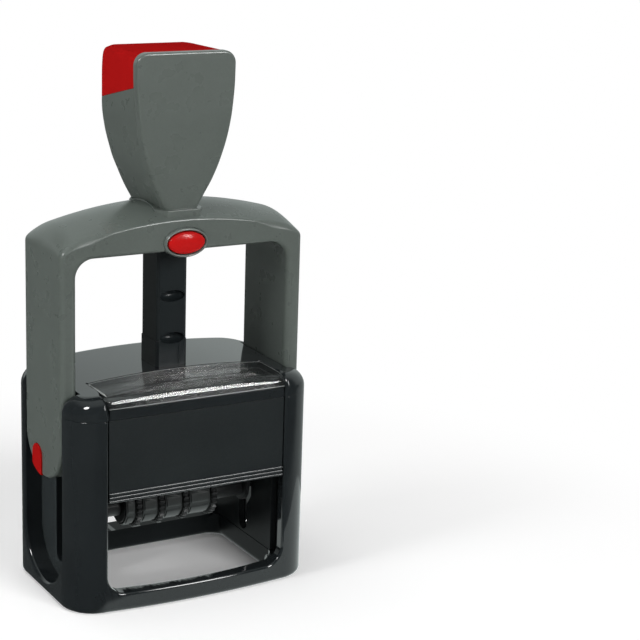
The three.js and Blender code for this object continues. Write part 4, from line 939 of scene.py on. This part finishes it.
# Lock button and bezel
def lock_button():
    outline, rear, edge, dome = ellipse(BUTTON_W, BUTTON_H), -12.7, -15.8, 1.4
    rings = [[(x, rear, z + BUTTON_Z) for x, z in outline]]
    rings += [[(x * c, edge - dome * s, z * c + BUTTON_Z) for x, z in outline] for c, s in quarter(13)[:-1]]
    body = loft("lock_button_cap", rings)
    return dress(body, "button", button_red, ["lock_button"], 60, False)


def bezel():
    profile = [(7.6, 4.85, -9.6), (7.6, 4.85, -14.9), (7.5, 4.75, -15.5), (7.3, 4.55, -15.95), (7.15, 4.4, -16.15),
               (7.0, 4.2, -16.2), (6.85, 4.05, -16.1), (6.72, 3.9, -15.8), (6.7, 3.85, -15.2), (6.7, 3.85, -9.6)]
    rings = [[(x, y, z + BUTTON_Z) for x, z in ellipse(w, h, 72)] for w, h, y in profile]
    body = loft("button_bezel_ring", rings, closed=True)
    # Its finish is the lighter grey that carries the painted highlight
    return dress(body, "handle", bezel_painted_highlight_grey, ["button_bezel"], 50, False)


# Return spring with closed ends
def spring():
    r, wire, turns, low, high = 4.4, 0.55, 9, 122.35, 167.15
    steps, rings = turns * 56, []
    for k in range(steps + 1):
        t = k / steps
        turn = t * turns * 2 * PI
        z = low + (high - low) * t
        out, up = Vector((math.cos(turn), math.sin(turn), 0)), Vector((0, 0, 1))
        centre = out * r + up * z
        rings.append([tuple(centre + out * u + up * v) for u, v in ellipse(wire, wire, 12)])
    body = loft("return_spring_coil", rings)
    dress(body, "handle", steel, ["return_spring"], 60, False)
    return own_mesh(body)


# Date wheels and bands
AXLE_Z, NOSE_Z = PIVOT - 18, PIVOT + 8.1
DRUM_R, DISC_R, TEETH, DISC_THICK = 5.6, 7.6, 26, 2.0
DRUMS = {"day_tens": 3.787, "day_units": 5.802, "month": 6.603, "year": 8.084}


def toothed(x, r, tooth):
    points = []
    for i in range(TEETH * 8):
        turn = 2 * PI * i / (TEETH * 8)
        reach = r - tooth * (1 - smoothstep(math.cos(TEETH * turn), -0.7, 0.7))
        points.append((x, reach * math.cos(turn), AXLE_Z + reach * math.sin(turn)))
    return points


def date_wheel(name, left, drum):
    bore, rim = 1.8, drum + DISC_THICK
    profile = [(0, bore, 0), (0, 5.45, 0), (0.15, DRUM_R, 0), (drum, DRUM_R, 0), (drum + 0.02, 5.75, 0),
               (drum + 0.35, 5.95, 0), (drum + 0.35, 6.2, 0), (drum + 0.03, 6.4, 0), (drum, 6.6, 0.1),
               (drum + 0.06, 7.3, 0.45), (drum + 0.25, DISC_R, 0.6), (rim - 0.25, DISC_R, 0.6), (rim - 0.06, 7.3, 0.45),
               (rim, 6.6, 0.1), (rim - 0.03, 6.4, 0), (rim - 0.35, 6.2, 0), (rim - 0.35, 3.2, 0), (rim, 3.0, 0),
               (rim, bore, 0)]
    body = loft(f"{name}_disc", [toothed(left + x, r, tooth) for x, r, tooth in profile], closed=True)
    return dress(body, f"{name}_dial", matt_black, [f"{name}_wheel"], 40)


def band_stations():
    """Places, outward directions and distances along a band's inner face, round the nose and the drum."""
    inner, nose = DRUM_R + GAP, 2.0
    lean = math.asin((inner - nose) / (NOSE_Z - AXLE_Z))
    path = [(NOSE_Z, nose, lean + (PI - 2 * lean) * k / 24) for k in range(25)]
    path += [(NOSE_Z + (AXLE_Z - NOSE_Z) * k / 40, nose + (inner - nose) * k / 40, PI - lean) for k in range(1, 40)]
    path += [(AXLE_Z, inner, PI - lean + (PI + 2 * lean) * k / 72) for k in range(73)]
    path += [(AXLE_Z + (NOSE_Z - AXLE_Z) * k / 40, inner + (nose - inner) * k / 40, lean) for k in range(1, 40)]
    stations, run, last = [], 0.0, None
    for z, r, turn in path:
        y, v = r * math.cos(turn), z + r * math.sin(turn)
        run += math.hypot(y - last[0], v - last[1]) if last else 0.0
        last = (y, v)
        stations.append((y, v, math.cos(turn), math.sin(turn), run))
    return stations


def date_band(name, left, drum):
    """Band with a raised pad for each date, which carries no characters here."""
    low, high, thick, pads = left + GAP, left + drum - GAP, 0.45, 16
    stations = band_stations()
    total = stations[-1][4]
    rings = []
    for y, z, ny, nz, run in stations:
        phase = abs(run / total * pads % 1 - 0.5)
        rise = 0.35 * (1 - smoothstep(phase, 0.3, 0.42))
        edge = [(0, 0), (0, thick - 0.1), (0.1, thick), (0.4, thick), (0.55, thick + rise)]
        section = [(low + u, v) for u, v in edge] + [(high - u, v) for u, v in reversed(edge)]
        rings.append([(x, y + ny * out, z + nz * out) for x, out in section])
    body = loft(f"{name}_band_loop", rings, closed=True)
    return dress(body, "carriage", band, [f"{name}_band"], 40, False)


def date_unit():
    left = 0.4 - (sum(DRUMS.values()) + 4 * DISC_THICK + 3 * GAP) / 2
    for name, drum in DRUMS.items():
        date_wheel(name, left, drum)
        date_band(name, left, drum)
        left += drum + DISC_THICK + GAP


# CAD nodes that stay, with better surfaces
def carry(name, mat, round_edge):
    obj = nodes[name]
    for slot_item in obj.material_slots:
        slot_item.material = mat
    modifier = obj.modifiers.new("round", "BEVEL")
    modifier.width = round_edge * MM
    modifier.segments = 2
    modifier.limit_method = "ANGLE"
    modifier.angle_limit = math.radians(40)
    modifier.use_clamp_overlap = True


base_frame()
top_cover()
window_cover()
front_panel()
handle_bow()
for side in (-1, 1):
    leg_insert(side)
knob()
face_plate()
column()
lock_button()
bezel()
spring()
date_unit()
for mat, round_edge, names in (
    (matt_black, 0.15, ("carriage_frame", "band_bridge", "latch_slide", "wheel_axle")),
    (inner_black, 0.15, ("left_track_plate", "right_track_plate")),
    (satin_black, 0.3, ("rear_panel", "pad_tray")),
    (felt, 0.15, ("ink_pad",)),
    (plate_grey, 0.15, ("text_plate",)),
    (rubber, 0.15, ("text_die",)),
    (steel, 0.15, ("left_pivot_pin", "right_pivot_pin")),
):
    for name in names:
        carry(name, mat, round_edge)


# Floor, light and camera
ROOM_TINT = (0.91, 1.0, 0.98, 1)


def floor_paper():
    """Pale floor: white to the camera with the object's shadow, a painted shade under the print window, and a sheet
    with a dark room to the gloss.
    """
    mat = bpy.data.materials.new("floor_paper")
    t = Tree(mat)
    paper = t.new("ShaderNodeBsdfDiffuse", Color=(0.82, 0.82, 0.815, 1)).outputs[0]
    bright = t.new("ShaderNodeBsdfDiffuse", Color=(0.9, 0.9, 0.9, 1)).outputs[0]
    x, y, z = t.new("ShaderNodeSeparateXYZ", Vector=t.new("ShaderNodeNewGeometry").outputs["Position"]).outputs
    # The camera sees a glow everywhere and plain white away from the object; under the open print window the glow is
    # cut back, a painted shade on the floor inside the base
    under = t.mul(t.math("LESS_THAN", t.math("ABSOLUTE", x), 0.036), t.math("LESS_THAN", t.math("ABSOLUTE", y), 0.0245))
    floor_glow_and_painted_shade = t.new("ShaderNodeAddShader")
    t.put(floor_glow_and_painted_shade.inputs[0], bright)
    t.put(floor_glow_and_painted_shade.inputs[1], t.glow("ShaderNodeEmission", t.math("MULTIPLY_ADD", under, -0.24, 0.3)))
    away = t.math("SQRT", t.add(t.mul(x, x), t.mul(y, y)))
    seen = t.mix(t.ramp(away, 0.09, 0.22), floor_glow_and_painted_shade.outputs[0], t.glow("ShaderNodeEmission", 1.0))
    # The gloss shows a bright ellipse, turned by ten degrees and cut off on its left, and two dimmer sides
    c, s = math.cos(math.radians(-10)), math.sin(math.radians(-10))
    u, v = t.sub(x, 0.04), t.sub(y, -0.006)
    along = t.math("DIVIDE", t.add(t.mul(u, c), t.mul(v, s)), 0.096)
    across = t.math("DIVIDE", t.sub(t.mul(v, c), t.mul(u, s)), 0.054)
    reach = t.add(t.mul(along, along), t.mul(across, across))
    sheet = t.mul(t.sub(1.0, t.ramp(reach, 0.94, 1.06)), t.ramp(x, -0.037, -0.03))
    side = t.mul(t.ramp(x, 0.06, 0.12), t.ramp(y, -0.11, -0.04))
    left = t.sub(1.0, t.ramp(x, -0.11, -0.06))
    shine = t.math("MAXIMUM", sheet, t.math("MAXIMUM", t.mul(side, 0.42), t.mul(left, 0.06)))
    gloss = t.glow("ShaderNodeEmission", t.add(t.mul(shine, 0.9), 0.1), ROOM_TINT)
    path = t.new("ShaderNodeLightPath").outputs
    camera = t.math("MAXIMUM", path["Is Camera Ray"], path["Is Transmission Ray"])
    t.new("ShaderNodeOutputMaterial", Surface=t.mix(path["Is Glossy Ray"], t.mix(camera, paper, seen), gloss))
    return mat


FLOOR_HALF = 3000
floor_bm = bmesh.new()
for x, y in ((-1, -1), (1, -1), (1, 1), (-1, 1)):
    floor_bm.verts.new((x * FLOOR_HALF, y * FLOOR_HALF, 0))
floor_bm.faces.new(floor_bm.verts)
floor = new_object("floor", floor_bm)
floor.data.transform(Matrix.Scale(MM, 4))
floor.data.materials.append(floor_paper())


def studio_room():
    """World: white to the camera, even light to matt faces, and a bright wall and ceiling to the gloss."""
    world = bpy.data.worlds.new("studio")
    bpy.context.scene.world = world
    t = Tree(world)
    dx, dy, dz = t.new("ShaderNodeSeparateXYZ", Vector=t.new("ShaderNodeTexCoord").outputs["Generated"]).outputs
    wall = t.ramp(t.add(t.mul(dx, 0.6), t.mul(dy, 0.8)), 0.1, 0.55)
    low = t.mul(t.sub(1.0, t.ramp(dz, 0.75, 1.0)), t.math("MULTIPLY_ADD", t.ramp(dz, -0.05, 0.22), 0.35, 0.65))
    ceiling = t.mul(t.ramp(dz, 0.65, 0.95), 0.6)
    room = t.add(t.add(t.mul(t.mul(wall, low), 0.66), ceiling), 0.1)
    path = t.new("ShaderNodeLightPath").outputs
    camera = t.math("MAXIMUM", path["Is Camera Ray"], path["Is Transmission Ray"])
    matt, gloss = t.glow("ShaderNodeBackground", 0.17), t.glow("ShaderNodeBackground", room, ROOM_TINT)
    seen = t.glow("ShaderNodeBackground", 1.0)
    t.new("ShaderNodeOutputWorld", Surface=t.mix(camera, t.mix(path["Is Glossy Ray"], matt, gloss), seen))


studio_room()


def lamp(name, place, size, level_at, gloss=False):
    """Softbox that lights a face turned to it at the given share of a plain white light, or only adds its gloss."""
    data = bpy.data.lights.new(name, "AREA")
    data.shape = "ELLIPSE" if gloss else "RECTANGLE"
    data.size, data.size_y = size
    target = Vector((0, 0, 0.08))
    away = (Vector(place) - target).length
    data.energy = level_at * PI * PI * away**2
    obj = bpy.data.objects.new(name, data)
    obj.location = place
    obj.rotation_mode = "QUATERNION"
    obj.rotation_quaternion = (target - Vector(place)).to_track_quat("-Z", "Y")
    obj.visible_glossy = gloss
    obj.visible_diffuse = not gloss
    bpy.context.scene.collection.objects.link(obj)


lamp("top_softbox", (-0.15, 0.1, 1.0), (0.6, 0.4), 0.28)
lamp("left_softbox", (-0.95, -0.1, 0.42), (0.3, 0.3), 0.42)
lamp("key_softbox", (0.2, -0.85, 0.5), (0.4, 0.4), 0.58)
lamp("roll_gloss", (0.41, -0.775, 0.571), (0.24, 0.6), 0.8, True)
lamp("spark_gloss", (-0.657, -0.384, 0.769), (0.25, 0.25), 0.5, True)

# Camera fitted to the photograph: azimuth, pitch and roll in degrees, and its place in millimetres
CAMERA_ANGLES = (30.574, 15.067, 1.874)
CAMERA_PLACE = (-254.99, -531.36, 246.45)
camera_data = bpy.data.cameras.new("camera")
camera = bpy.data.objects.new("camera", camera_data)
bpy.context.scene.collection.objects.link(camera)
bpy.context.scene.camera = camera
camera_data.lens = 105.18
camera_data.sensor_width = 36
camera_data.clip_start, camera_data.clip_end = 0.01, 20
a, p, r = (math.radians(v) for v in CAMERA_ANGLES)
back = Vector((-math.sin(a) * math.cos(p), -math.cos(a) * math.cos(p), math.sin(p)))
right0 = Vector((math.cos(a), -math.sin(a), 0))
up0 = back.cross(right0)
right = right0 * math.cos(r) + up0 * math.sin(r)
up = up0 * math.cos(r) - right0 * math.sin(r)
turn = Matrix((right, up, back)).transposed()
camera.matrix_world = Matrix.Translation(Vector(CAMERA_PLACE) * MM) @ turn.to_4x4()

bpy.context.scene.view_settings.view_transform = "Standard"
